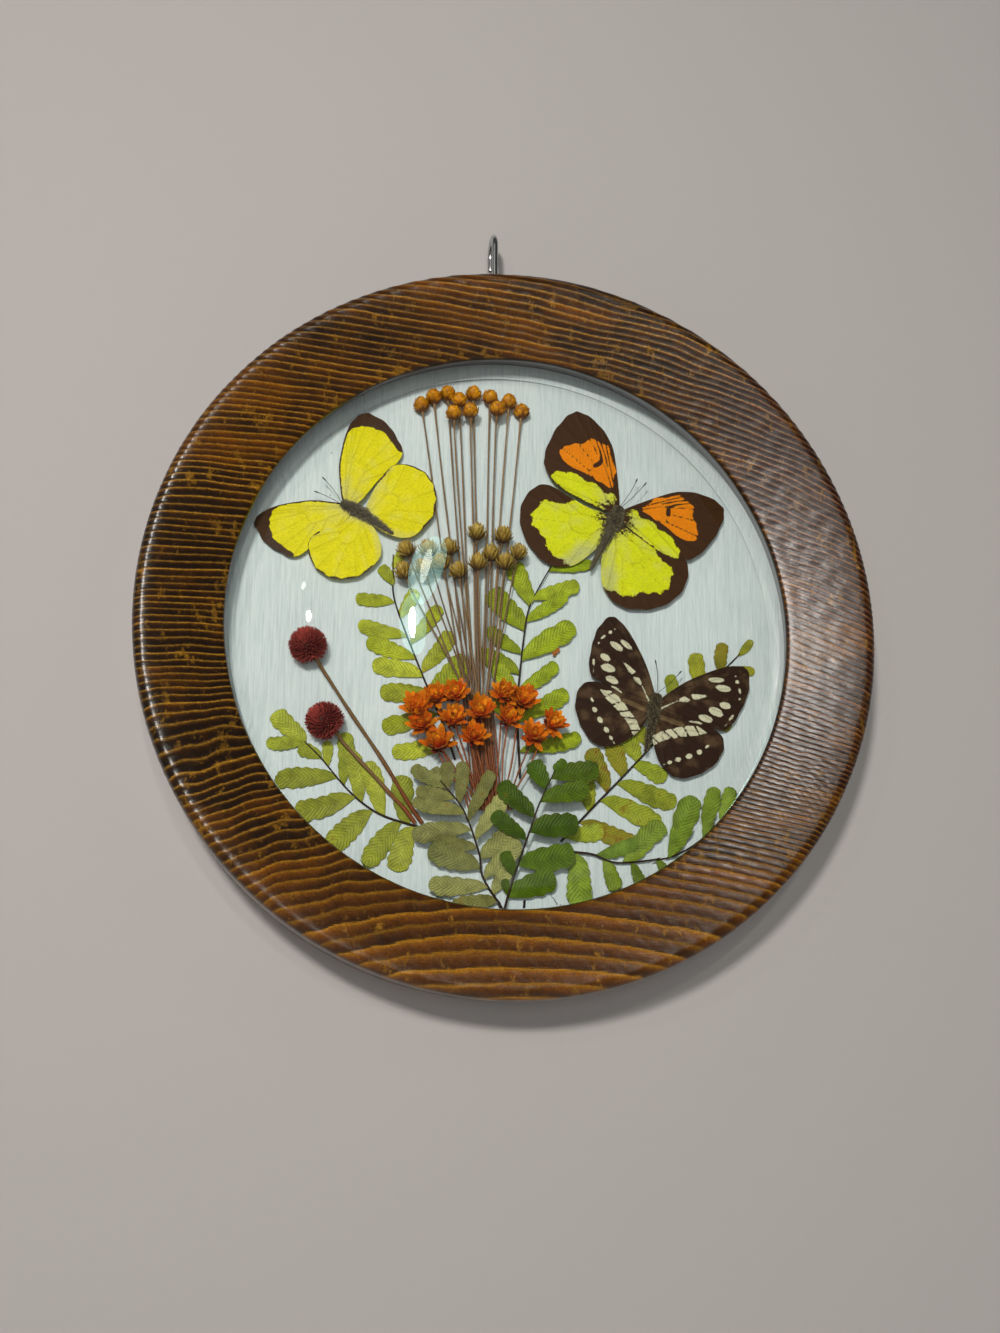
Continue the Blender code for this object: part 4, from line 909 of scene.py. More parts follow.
def make_flower_shape(bunch, number, settings):
    """The stem runs from its foot through the waist to the head's neck, swaying a little, and widens at the neck.
    The head stands in line with it, leaning towards the viewer."""
    heads, make_head, reach, stem_colour, stem_share, lean, layer, waist, foot = BUNCHES[bunch]
    draw = np.random.default_rng(number * 7 + len(bunch) * 101)
    x, z, height = heads[number]
    row = [np.array((middle + spacing * (number - (len(heads) - 1) / 2), row_z, layer))
           for middle, row_z, spacing in (foot, waist)]
    head = np.array((x, z, height), float)
    away = head[:2] - row[1][:2]
    away /= np.linalg.norm(away)
    neck = np.array((*(head[:2] - away * reach), height))
    before = np.array((*(neck[:2] - away * NECK_RUN), layer + 0.25 * (height - layer)))
    line = evenly([*row, before, neck], STEM_ROWS, ease=4)
    share = np.linspace(0, 1, STEM_ROWS)
    arch = np.sin(math.pi * share)
    sway = (0.35 * draw.uniform(-1, 1) * arch + 0.16 * np.sin(9 * share + draw.uniform(0, 6))) * arch
    path = laid(line[:, 0] + away[1] * sway, line[:, 2], line[:, 1] - away[0] * sway)
    knots = 0.10 * np.sin(23 * share + draw.uniform(0, 6))
    radii = settings.stem_radius / MM * stem_share * (1 + knots + 0.9 * np.exp((share - 1) * 60))
    if bunch == "red_flower":
        radii = radii * (1.25 - 0.3 * share)
    redder = 0.8 * smooth_step(0.45, 0.15, share)[:, None]
    tint = ((1 - redder) * rgb(stem_colour) + redder * rgb("#84401E"))[None, :, None] * draw.uniform(0.75, 1.2)
    stem = lofted(tube(path[None], radii[None], 8), place=0.0, tint=tint)
    tilt = draw.uniform(-0.25, 0.25)
    axis = np.array((away[0] * math.cos(tilt) - away[1] * math.sin(tilt), -lean * draw.uniform(0.6, 1.3),
                     away[1] * math.cos(tilt) + away[0] * math.sin(tilt)))
    axis /= np.linalg.norm(axis)
    centre = laid(head[0], height, head[1])
    bloom = merged(make_head(centre, axis, draw))
    if bunch == "red_flower":
        bloom["points"][:, 1] = centre[1] + (bloom["points"][:, 1] - centre[1]) * 0.86
    return merged([stem, bloom])


def dried_petals(name, shine):
    """Dried petals and stems: papery, with fine streaks along them and small uneven faded spots."""
    made, tree, shader = start_material(name, Roughness=0.5, Specular_IOR_Level=shine)
    place = add(tree, "Attribute", attribute_name="place")
    tint = add(tree, "Attribute", attribute_name="tint")
    where = add(tree, "SeparateXYZ", {"Vector": place.outputs["Vector"]})
    coordinates = add(tree, "TexCoord").outputs["Object"]
    # Faded spots about 0.5 mm across.
    fine = add(tree, "TexNoise", {"Vector": coordinates, "Scale": 1900.0, "Detail": 3.0, "Roughness": 0.7})
    # Streaks run along each petal, about a third of its width apart.
    streak = add(tree, "Math", {0: where.outputs["Y"], 1: 9.0}, operation="MULTIPLY")
    streak = add(tree, "Math", {0: streak}, operation="SINE")
    streak = add(tree, "MapRange", {"Value": streak, "From Min": -1.0, "To Min": 0.88, "To Max": 1.1})
    spots = add(tree, "MapRange", {"Value": fine, **NOISE_RANGE, "To Min": 0.72, "To Max": 1.25})
    shade = add(tree, "Math", {0: streak, 1: spots}, operation="MULTIPLY")
    colour = add(tree, "Mix", {"Factor": 1.0, 6: tint, 7: shade}, **MULTIPLIED)
    bump = add(tree, "Bump", {"Height": fine, "Strength": 0.3, "Distance": 0.0001})
    connect(tree, shader, {"Base Color": colour, "Normal": bump})
    return made


# ---------------------------------------------------------------------------------------------- butterflies

def line_distance(p, lines):
    """Distance from each point (n, 2) to the nearest of several straight lines (a, b)."""
    ends = np.asarray(lines, float)
    a, edge = ends[None, :, 0], (ends[:, 1] - ends[:, 0])[None]
    q = p[:, None]
    share = np.clip(((q - a) * edge).sum(-1) / np.maximum((edge**2).sum(-1), 1e-12), 0, 1)
    return np.linalg.norm(q - a - edge * share[..., None], axis=-1).min(1)


def inside(p, corners):
    """How far each point (n, 2) is inside a closed outline (k, 2), negative outside: the nearest edge's distance,
    its sign from how often a line to the right crosses the outline."""
    a = np.asarray(corners, float)
    b = np.roll(a, -1, axis=0)
    distance = line_distance(p, np.stack([a, b], 1))
    x, y = p[:, :1], p[:, 1:]
    run, rise = (b - a).T
    rise = np.where(np.abs(rise) < 1e-12, 1e-12, rise)
    crossing = ((a[:, 1] > y) != (b[:, 1] > y)) & (x < run * (y - a[:, 1]) / rise + a[:, 0])
    return np.where(crossing.sum(1) % 2 == 1, distance, -distance)


def ovals(p, plans):
    """How far each point is inside the nearest of several ovals (along, across, half length, half width, angle)."""
    x, y, half_length, half_width, angle = np.asarray(plans, float).T
    turn = np.radians(angle)
    dx, dy = p[:, :1] - x, p[:, 1:] - y
    a = (dx * np.cos(turn) + dy * np.sin(turn)) / half_length
    b = (-dx * np.sin(turn) + dy * np.cos(turn)) / half_width
    return ((1 - np.sqrt(a**2 + b**2)) * half_width).max(1)


FORE_VEINS = [
    ((0.05, 0.03), (0.50, 0.06)), ((0.05, -0.02), (0.44, -0.10)), ((0.50, 0.06), (0.46, 0.00)),
    ((0.46, 0.00), (0.44, -0.10)), ((0.50, 0.06), (0.93, 0.08)), ((0.49, 0.04), (0.99, -0.02)),
    ((0.46, -0.02), (0.93, -0.18)), ((0.44, -0.10), (0.82, -0.32)), ((0.36, -0.085), (0.68, -0.42)),
    ((0.25, -0.06), (0.52, -0.45)), ((0.05, -0.04), (0.38, -0.40)), ((0.30, 0.08), (0.75, 0.16)),
    ((0.42, 0.085), (0.87, 0.11)), ((0.0, 0.03), (0.30, 0.08)),
]
HIND_VEINS = [
    ((0.30, 0.20), (0.55, 0.62)), ((0.42, 0.22), (0.80, 0.60)), ((0.48, 0.14), (0.98, 0.38)),
    ((0.46, 0.05), (1.0, 0.08)), ((0.38, -0.03), (0.90, -0.22)), ((0.25, -0.06), (0.68, -0.33)),
    ((0.10, -0.06), (0.40, -0.30)), ((0.0, 0.02), (0.30, 0.20)), ((0.30, 0.20), (0.42, 0.22)),
    ((0.42, 0.22), (0.48, 0.14)), ((0.48, 0.14), (0.46, 0.05)), ((0.0, 0.0), (0.25, -0.06)),
    ((0.25, -0.06), (0.38, -0.03)), ((0.38, -0.03), (0.46, 0.05)),
]
YELLOW_TIP = [
    (0.60, 0.20), (0.70, 0.150), (0.80, 0.108), (0.862, 0.035), (0.845, -0.035), (0.872, -0.085), (0.855, -0.16),
    (0.80, -0.25), (0.725, -0.32), (0.675, -0.385), (0.62, -0.50), (1.3, -0.6), (1.3, 0.5), (0.7, 0.5),
]
ORANGE_PATCH = [
    (0.23, 0.069), (0.358, 0.13), (0.50, 0.152), (0.602, 0.144), (0.672, 0.094), (0.733, 0.011), (0.699, -0.061),
    (0.721, -0.144), (0.718, -0.197), (0.705, -0.285), (0.683, -0.308), (0.602, -0.292), (0.502, -0.223),
    (0.422, -0.147), (0.36, -0.08), (0.30, -0.041), (0.238, 0.027),
]
ORANGE_ROOT = [
    (-0.1, 0.06), (0.151, 0.04), (0.213, -0.028), (0.30, -0.10), (0.405, -0.183), (0.477, -0.278), (0.517, -0.37),
    (0.53, -0.6), (-0.1, -0.6),
]
CREAM_FORE = [
    [(0.328, -0.077), (0.295, -0.02), (0.233, -0.022), (0.21, -0.047), (0.274, -0.073)],
    [(0.524, -0.101), (0.358, -0.015), (0.357, -0.076), (0.399, -0.098)],
]
CREAM_FORE_OVALS = [
    (0.669, 0.008, 0.077, 0.026, -24), (0.688, -0.086, 0.077, 0.034, -32), (0.631, -0.251, 0.059, 0.031, -39),
    (0.52, -0.276, 0.075, 0.040, -48), (0.392, -0.296, 0.070, 0.035, -36), (0.288, -0.302, 0.070, 0.020, -28),
    (0.849, -0.077, 0.018, 0.018, 0), (0.859, -0.02, 0.009, 0.009, 0), (0.834, -0.173, 0.030, 0.014, 79),
    (0.796, -0.243, 0.010, 0.010, 0), (0.64, -0.381, 0.030, 0.010, 26), (0.552, -0.431, 0.028, 0.008, 26),
]
CREAM_BAND = [
    (0.636, 0.443), (0.577, 0.304), (0.495, 0.159), (0.40, -0.021), (0.366, -0.103), (0.344, -0.234), (0.314, -0.331),
    (0.216, -0.316), (0.213, -0.212), (0.244, -0.12), (0.252, -0.045), (0.326, 0.12), (0.403, 0.284), (0.482, 0.397),
]
CREAM_CUTS = [
    ((0.46, 0.36), (0.62, 0.33)), ((0.38, 0.22), (0.56, 0.20)), ((0.30, 0.08), (0.50, 0.10)),
    ((0.25, -0.04), (0.42, 0.01)), ((0.22, -0.12), (0.40, -0.09)), ((0.20, -0.22), (0.37, -0.19)),
]
CREAM_HIND_OVALS = [
    (0.776, 0.329, 0.035, 0.018, 80), (0.772, 0.191, 0.040, 0.032, 80), (0.734, 0.035, 0.050, 0.033, 75),
    (0.684, -0.113, 0.045, 0.030, 70), (0.647, -0.227, 0.030, 0.020, 70), (0.624, -0.306, 0.022, 0.012, 70),
    (0.589, -0.366, 0.025, 0.012, 60),
]


def wing_marks(outline, p, rim, vein):
    """Three values for each point of a wing, from its (along, across) and its distances from the rim and the nearest
    vein: how far it is inside the dark marks, how far inside the bright ones, and how dusty or pale it is, with
    painted fold shading in streaks."""
    along, across = p[:, 0], p[:, 1]
    dark, bright, dust_and_fold_shading = np.full(len(p), -0.5), np.full(len(p), -0.5), np.zeros(len(p))
    scallops = 0.006 * np.sin(across * 46) + 0.006 * wobble(along * 40, across * 40, 41)
    if outline is YELLOW_FORE:
        fore_side = across > 0.04 + 0.1 * along
        costa = np.where(fore_side & (along > 0.02), 0.016 - rim, -0.5)
        dark = np.maximum(inside(p, YELLOW_TIP) + scallops + 0.016 * np.abs(np.sin(across * 17 + 0.7)) - 0.008, costa)
        fore_band = 0.35 * smooth_step(0.10, 0.0, np.abs(across - 0.05)) * smooth_step(0.6, 0.1, along)
        dust_and_fold_shading = 0.55 * smooth_step(0.35, 0.0, along) + fore_band
    elif outline is YELLOW_HIND:
        outer = smooth_step(0.30, 0.60, along + 0.35 * across)
        dark = np.where(outer > 0, (0.006 + 0.018 * np.abs(np.sin(across * 15 + 0.6))) * outer - rim, -0.5)
        dust_and_fold_shading = 0.75 * smooth_step(0.14, 0.0, rim) * smooth_step(0.75, 0.3, along) + 0.3 * smooth_step(0.2, 0.0, along)
    elif outline is ORANGE_FORE:
        bright = inside(p, ORANGE_PATCH) + 1.4 * scallops
        root = inside(p, ORANGE_ROOT) + 1.6 * scallops
        cell = 0.022 - line_distance(p, [((0.475, 0.02), (0.465, -0.025))])
        dark = np.maximum(-np.maximum(root, bright - 0.012), np.maximum(cell + 0.01, 0.008 - rim))
        lines = 0.006 - vein
        dark = np.maximum(np.where(dark < 0, dark * 0.4, dark), np.where(bright > -0.02, lines + 0.006, -0.5))
        dark = np.maximum(dark, 0.007 - 0.08 * along + 0.004 * np.exp(-(vein / 0.012) ** 2))
        bright = np.minimum(bright, -np.maximum(cell, lines))
        dust_and_fold_shading = 0.5 * smooth_step(0.30, 0.0, along)
    elif outline is ORANGE_HIND:
        outer = smooth_step(-0.42, -0.05, across + 0.3 * (along - 0.6)) * smooth_step(0.35, 0.62, along + 0.25 * across)
        dark = (0.155 + 0.03 * np.sin(across * 14 + 0.5) + 2 * scallops) * outer - rim - 0.02 * (1 - outer)
        root = 0.006 - 0.07 * along + 0.004 * np.exp(-(vein / 0.012) ** 2)
        dark = np.maximum(np.where(dark < 0, dark * 0.3, dark), root)
        dust_and_fold_shading = 0.8 * smooth_step(-0.02, -0.22, across + 0.12 * along) + 0.35 * smooth_step(0.22, 0.0, along)
    elif outline is BANDED_FORE:
        streak = 0.011 - line_distance(p, [((-0.03, -0.045), (0.20, -0.036))])
        bright = np.maximum.reduce([streak, ovals(p, CREAM_FORE_OVALS)] + [inside(p, spot) for spot in CREAM_FORE])
        bright = bright + 0.4 * scallops
        dust_and_fold_shading = 0.25 * smooth_step(0.35, 0.0, along)
    else:
        band = np.minimum(inside(p, CREAM_BAND), line_distance(p, CREAM_CUTS) - 0.010)
        bright = np.maximum(band, ovals(p, CREAM_HIND_OVALS)) + 0.5 * scallops
        dust_and_fold_shading = smooth_step(0.045, 0.02, line_distance(p, [((0.05, 0.03), (0.34, 0.22))])) * 0.8
        dust_and_fold_shading = np.maximum(dust_and_fold_shading, 0.35 * smooth_step(0.12, 0.0, rim) * smooth_step(0.6, 0.3, along) * (across > 0))
    # Painted fold shading: pale and deep streaks fan out from the root, as the light and shade of folds between the
    # veins.
    return dark, bright, np.clip(dust_and_fold_shading + 0.22 * wobble(across / (along + 0.22) * 16, along * 4, 43), -0.3, 1)


WING_ROWS = 92
WING_COLUMNS = 46
# Distance that counts as away from all veins. The body and what grows on it have it too.
NO_VEIN = 3.0


def make_wing(outline, side, root_x, root_z, length, direction, root_height, tip_height, settings):
    """A grid between the trailing and the fore edge of the smoothed outline, closer together near the rim, as the
    two faces of a thin lens. Veins stand up from it, and the wing sags between them."""
    curve = smooth(outline, 14, closed=True)
    curve = curve * (1 + 0.004 * np.sin(np.arange(len(curve)) * 0.55))[:, None]
    start, end = np.argmin(curve[:, 0]), np.argmax(curve[:, 0])
    curve = np.roll(curve, -start, axis=0)
    cut = (end - start) % len(curve)
    fore, rear = curve[:cut + 1], np.vstack([curve[cut:], curve[:1]])[::-1]
    share = 0.5 - 0.5 * np.cos(np.linspace(0.02, math.pi - 0.02, WING_ROWS))
    along = curve[:, 0].min() + share * np.ptp(curve[:, 0])
    high = np.interp(along, np.maximum.accumulate(fore[:, 0]), fore[:, 1])
    low = np.interp(along, np.maximum.accumulate(rear[:, 0]), rear[:, 1])
    v = np.sin(np.linspace(-math.pi / 2, math.pi / 2, WING_COLUMNS))
    across = (high + low)[:, None] / 2 + v * (high - low)[:, None] / 2
    along = np.broadcast_to(along[:, None], across.shape)
    p = np.stack([along.ravel(), across.ravel()], 1)
    rim = inside(p, curve)
    hind = outline in (YELLOW_HIND, ORANGE_HIND, BANDED_HIND)
    vein = line_distance(p, HIND_VEINS if hind else FORE_VEINS) * length
    dark, bright, dust_and_fold_shading = wing_marks(outline, p, rim, vein / length)
    camber = 0.30 * (1 - v**2)[None] * np.sin(math.pi * share)[:, None]
    relief = (0.07 * np.exp(-(vein / 0.3) ** 2) - 0.10 * np.exp(-(vein / 1.1 - 1.2) ** 2)).reshape(across.shape)
    ripple = 0.10 * wobble(along * length / 5, across * length / 5, 37)
    height = root_height + (tip_height - root_height) * np.clip(along, 0, 1) + camber + relief + ripple - 0.1
    half = settings.wing_thickness / MM / 2 * (0.25 + 0.75 * np.sqrt(1 - v**2))[None]
    turn = math.radians(direction)
    x = root_x + length * (along * math.cos(turn) - across * side * math.sin(turn))
    z = root_z + length * (along * math.sin(turn) + across * side * math.cos(turn))

    def both(upper, lower):
        """One closed loop of columns: the upper face across, and the lower face back without its two ends."""
        return np.concatenate([upper, lower[:, -2:0:-1]], axis=1)

    def doubled(values):
        """The same values on both faces."""
        grid = values.reshape(across.shape)
        return both(grid, grid)

    points = laid(doubled(x), both(height + half, height - half), doubled(z))
    tone = np.stack([doubled(values) for values in (dark * length, bright * length, dust_and_fold_shading)], -1)
    return lofted(points[None], place=doubled(np.minimum(vein, NO_VEIN))[None, ..., None], tone=tone[None], tint=0.0)


HAIR_COUNT = 1400


def make_butterfly_shape(name, settings):
    """Four wings, a body that swells at the chest, hairs standing off it, and two antennae that end in clubs. In
    the tint attribute, the second value marks the body and the third says how pale it and each hair are."""
    plan = BUTTERFLIES[name]
    draw = np.random.default_rng(len(name))
    wings = [make_wing(*wing, settings) for wing in plan["wings"]]
    curve = smooth(plan["body"], 7)
    height = plan["height"] + 0.25
    path = laid(curve[:, 0], height, curve[:, 1])
    radii = curve[:, 2] * (1 + 0.05 * np.sin(np.arange(len(curve)) * 2.1))
    radii[0] *= 0.5
    radii[-1] *= 0.4
    waist = smooth_step(0.35, 0.6, np.linspace(0, 1, len(path)))
    radii, browner = radii * (1 - 0.3 * waist), 0.12 + 0.16 * waist
    trunk = lofted(tube(path[None], radii[None], 16, flatness=0.92), place=NO_VEIN, tone=0.0,
                   tint=np.stack(np.broadcast_arrays(0, 1, browner), -1)[None, :, None])
    count = HAIR_COUNT
    at = np.clip(draw.beta(1.1, 1.7, count), 0.01, 0.97) * (len(curve) - 1)
    root = np.stack([np.interp(at, np.arange(len(curve)), path[:, i]) for i in range(3)], 1)
    thick = np.interp(at, np.arange(len(curve)), curve[:, 2])
    back = path[-1] - path[0]
    back /= np.linalg.norm(back)
    sideways = np.cross(back, (0, 1, 0))
    angle = draw.uniform(-0.2, math.pi + 0.2, count)[:, None]
    out = sideways * np.cos(angle) + np.array((0, -1, 0)) * np.sin(angle)
    way = out * draw.uniform(0.5, 1.0, (count, 1)) + back * draw.uniform(0.3, 1.0, (count, 1))
    way += draw.normal(0, 0.2, (count, 3))
    way /= np.linalg.norm(way, axis=1, keepdims=True)
    share = np.array([0, 0.55, 1.0])
    reach = draw.uniform(0.6, 1.6, count) * np.where(at < 0.55 * len(curve), 1.0, 0.55)
    lines = (root + out * (thick * 0.85)[:, None])[:, None] + way[:, None] * (share * reach[:, None])[..., None]
    hairs = lofted(tube(lines, np.broadcast_to([0.08, 0.055, 0.012], (count, 3)), 3, reference=(0.31, 0.52, 0.79)),
                   place=NO_VEIN, tone=0.0,
                   tint=np.stack(np.broadcast_arrays(0, 1, draw.uniform(0.2, 1, count)), -1)[:, None, None])
    feelers = []
    for x0, z0, x1, z1 in plan["antennae"]:
        s = np.linspace(0, 1, 26)
        lift = height + 0.6 + 0.8 * np.sin(math.pi * s * 0.7)
        bow = 0.35 * np.sin(math.pi * s)
        line = laid(x0 + (x1 - x0) * s + bow, lift, z0 + (z1 - z0) * s)
        radii = 0.075 + 0.11 * smooth_step(0.80, 0.92, s) * (1 - 0.5 * smooth_step(0.96, 1.0, s))
        feelers.append(lofted(tube(line[None], radii[None], 8), place=NO_VEIN, tone=0.0, tint=(0, 1, 0.05)))
    return merged(wings + [trunk, hairs] + feelers)


def wing_scales(name, ground, dust_and_fold_shading_colour, dark, bright, hairs, vein_depth):
    """Butterfly wing scales: a powdery satin in flat fields of colour with slightly fuzzy borders, darker along the
    veins, greyed near the body, and a fine grain from the rows of scales. The body and its hairs share it."""
    made, tree, shader = start_material(name, Roughness=0.6, Specular_IOR_Level=0.1)
    where, zone, part = (
        add(tree, "SeparateXYZ", {"Vector": add(tree, "Attribute", attribute_name=field).outputs["Vector"]})
        for field in ("place", "tone", "tint"))
    coordinates = add(tree, "TexCoord").outputs["Object"]
    # Borders fray over 0.7 mm, and the powder clouds over about 4 mm.
    fuzz = add(tree, "TexNoise", {"Vector": coordinates, "Scale": 1400.0, "Detail": 3.0, "Roughness": 0.7})
    cloud = add(tree, "TexNoise", {"Vector": coordinates, "Scale": 260.0, "Detail": 3.0})
    # Scales in grains 0.3 mm across, drawn coarser than real scales so that they show.
    grains = add(tree, "TexVoronoi", {"Vector": coordinates, "Scale": 3300.0})
    grain = add(tree, "SeparateXYZ", {"Vector": grains.outputs["Color"]})
    frayed = add(tree, "Math", {0: fuzz, 1: 0.5}, operation="SUBTRACT")
    # The pale dust colour also carries painted fold shading: streaks of light and shade between the veins.
    dust_and_fold_shading_mix = add(tree, "Math", {0: cloud, 1: 1.5, 2: zone.outputs["Z"]}, operation="MULTIPLY_ADD")
    dust_and_fold_shading_mix = add(tree, "MapRange", {"Value": dust_and_fold_shading_mix, "From Min": 0.75, "From Max": 1.75})
    colour = add(tree, "Mix", {"Factor": dust_and_fold_shading_mix, 6: rgba(ground), 7: rgba(dust_and_fold_shading_colour)}, **BLENDED)
    for socket, code, width in (("X", dark, 0.9), ("Y", bright, 0.5)):
        reach = add(tree, "Math", {0: frayed, 1: width, 2: zone.outputs[socket]}, operation="MULTIPLY_ADD")
        within = add(tree, "MapRange", {"Value": reach, "From Min": -0.07, "From Max": 0.07})
        colour = add(tree, "Mix", {"Factor": within, 6: colour, 7: rgba(code)}, **BLENDED)
    vein = add(tree, "MapRange", {"Value": where.outputs["Z"], "From Min": 0.05, "From Max": 0.34,
                                  "To Min": 1 - vein_depth, "To Max": 1.0})
    powder = add(tree, "MapRange", {"Value": grain.outputs["X"], "To Min": 0.9, "To Max": 1.1})
    shade = add(tree, "Math", {0: vein, 1: powder}, operation="MULTIPLY")
    uneven = add(tree, "MapRange", {"Value": cloud, **NOISE_RANGE, "To Min": 0.95, "To Max": 1.04})
    shade = add(tree, "Math", {0: shade, 1: uneven}, operation="MULTIPLY")
    colour = add(tree, "Mix", {"Factor": 1.0, 6: colour, 7: shade}, **MULTIPLIED)
    pelt = add(tree, "ValToRGB", {"Fac": part.outputs["Z"]}, stops=[(0.0, "#241A12"), (0.4, hairs), (1.0, "#9A8E6C")])
    colour = add(tree, "Mix", {"Factor": part.outputs["Y"], 6: colour, 7: pelt}, **BLENDED)
    bump = add(tree, "Bump", {"Height": grain.outputs["Y"], "Strength": 0.12, "Distance": 0.0001})
    connect(tree, shader, {"Base Color": colour, "Normal": bump})
    return made


# ---------------------------------------------------------------------------------------------- operators

class WALLPICTURE_OT_ring(bpy.types.Operator):
    """Turn the charred, brushed wood ring"""
    bl_idname = "wall_picture.ring"
    bl_label = "Wood Ring"

    def execute(self, context):
        settings = context.scene.picture_case
        place_piece("wood_ring_brushed", make_ring_shape(settings), charred_softwood(settings), "charred_softwood",
                    "wood_ring")
        return {"FINISHED"}


class WALLPICTURE_OT_glass(bpy.types.Operator):
    """Form the convex glass"""
    bl_idname = "wall_picture.glass"
    bl_label = "Convex Glass"

    def execute(self, context):
        settings = context.scene.picture_case
        glass = place_piece("dome_glass", make_glass_shape(), clear_glass(settings), "clear_glass", "glass_dome")
        # Lamps light the specimens as if through glass without a caustic pattern.
        glass.visible_shadow = False
        glass.visible_diffuse = False
        glass.visible_glossy = False
        return {"FINISHED"}


class WALLPICTURE_OT_backing(bpy.types.Operator):
    """Finish the silver paper and the hardboard"""
    bl_idname = "wall_picture.backing"
    bl_label = "Paper and Board"

    def execute(self, context):
        settings = context.scene.picture_case
        paint_node("silver_paper", pearl_paper(settings))
        paint_node("backing_board", pressed_hardboard(settings))
        return {"FINISHED"}


class WALLPICTURE_OT_hook(bpy.types.Operator):
    """Bend the steel hook"""
    bl_idname = "wall_picture.hook"
    bl_label = "Wire Hook"

    def execute(self, context):
        settings = context.scene.picture_case
        place_piece("hook_wire", make_hook_shape(), drawn_steel_wire(settings), "bright_steel_wire", "hanging_hook")
        return {"FINISHED"}


class WALLPICTURE_OT_ferns(bpy.types.Operator):
    """Press the seven fern fronds"""
    bl_idname = "wall_picture.ferns"
    bl_label = "Ferns"

    def execute(self, context):
        settings = context.scene.picture_specimens
        finish = pressed_leaf()
        for name in FERNS:
            place_piece(name + "_pressed", make_fern_shape(name, settings), finish, "pressed_fern", name)
        return {"FINISHED"}


class WALLPICTURE_OT_flowers(bpy.types.Operator):
    """Dry the amber, tan, orange and red flowers"""
    bl_idname = "wall_picture.flowers"
    bl_label = "Dried Flowers"

    def execute(self, context):
        settings = context.scene.picture_specimens
        for bunch, plan in BUNCHES.items():
            finish = dried_petals(bunch + "_petals", 0.12 if bunch == "red_flower" else 0.25)
            for number in range(len(plan[0])):
                node = f"{bunch}_{number + 1:02d}"
                place_piece(node + "_bloom", make_flower_shape(bunch, number, settings), finish, bunch + "_dried", node)
        return {"FINISHED"}


class WALLPICTURE_OT_butterflies(bpy.types.Operator):
    """Set the three butterflies"""
    bl_idname = "wall_picture.butterflies"
    bl_label = "Butterflies"

    def execute(self, context):
        settings = context.scene.picture_specimens
        finishes = {
            "butterfly_yellow": wing_scales("yellow_wing_scales", settings.wing_yellow, "#E0D66A", "#4A3426", "#F2EA60",
                                            "#6E665C", 0.2),
            "butterfly_orange_tip": wing_scales("orange_tip_wing_scales", settings.wing_lime, "#C6C67E", "#452A14",
                                                settings.wing_orange, "#6A6250", 0.26),
            "butterfly_banded": wing_scales("banded_wing_scales", settings.wing_brown, "#8A6E4C", "#2E1A0C",
                                            settings.wing_cream, "#4C3E30", 0.35),
        }
        for name, finish in finishes.items():
            place_piece(name + "_spread", make_butterfly_shape(name, settings), finish, name + "_scales", name)
        return {"FINISHED"}


# The room and the camera, in metres and, for the lens and sensor, millimetres.
WALL_Y = 0.0008
FLOOR_Z = -0.75
ROOM_REACH = 1.6
# Name, place, width, height, power, colour, and whether shiny and whether dull surfaces show its light.
LAMPS = [
    ("key_softbox", (-0.20, -0.72, 0.13), 0.075, 0.075, 3.25, "#FFFAF4", False, True),
    ("shine_lamp", (-0.335, -0.65, 0.185), 0.014, 0.018, 5.2, "#FFFAF4", True, False),
    ("long_lamp", (-0.047, -1.46, 0.373), 0.030, 0.085, 1.6, "#FFFFF0", True, True),
    ("halo_lamp", (-0.047, -1.48, 0.373), 0.11, 0.17, 0.22, "#B8FFF4", True, True),
    ("fill_softbox", (0.95, -1.15, 0.70), 0.5, 0.5, 0.42, "#FFFFFF", False, True),
    ("low_softbox", (-0.10, -1.1, -0.10), 0.4, 0.4, 2.1, "#FFFFFF", False, True),
    ("back_softbox", (0.3, 1.2, 0.5), 0.9, 0.9, 13.0, "#FFFFFF", False, True),
]
CAMERA_PLACE = (-0.05523, -0.37910, -0.09771)
CAMERA_TILT = math.radians(103.1)
CAMERA_TURN = math.radians(-8.1)
CAMERA_LENS = 37.81
CAMERA_SENSOR = 36.0


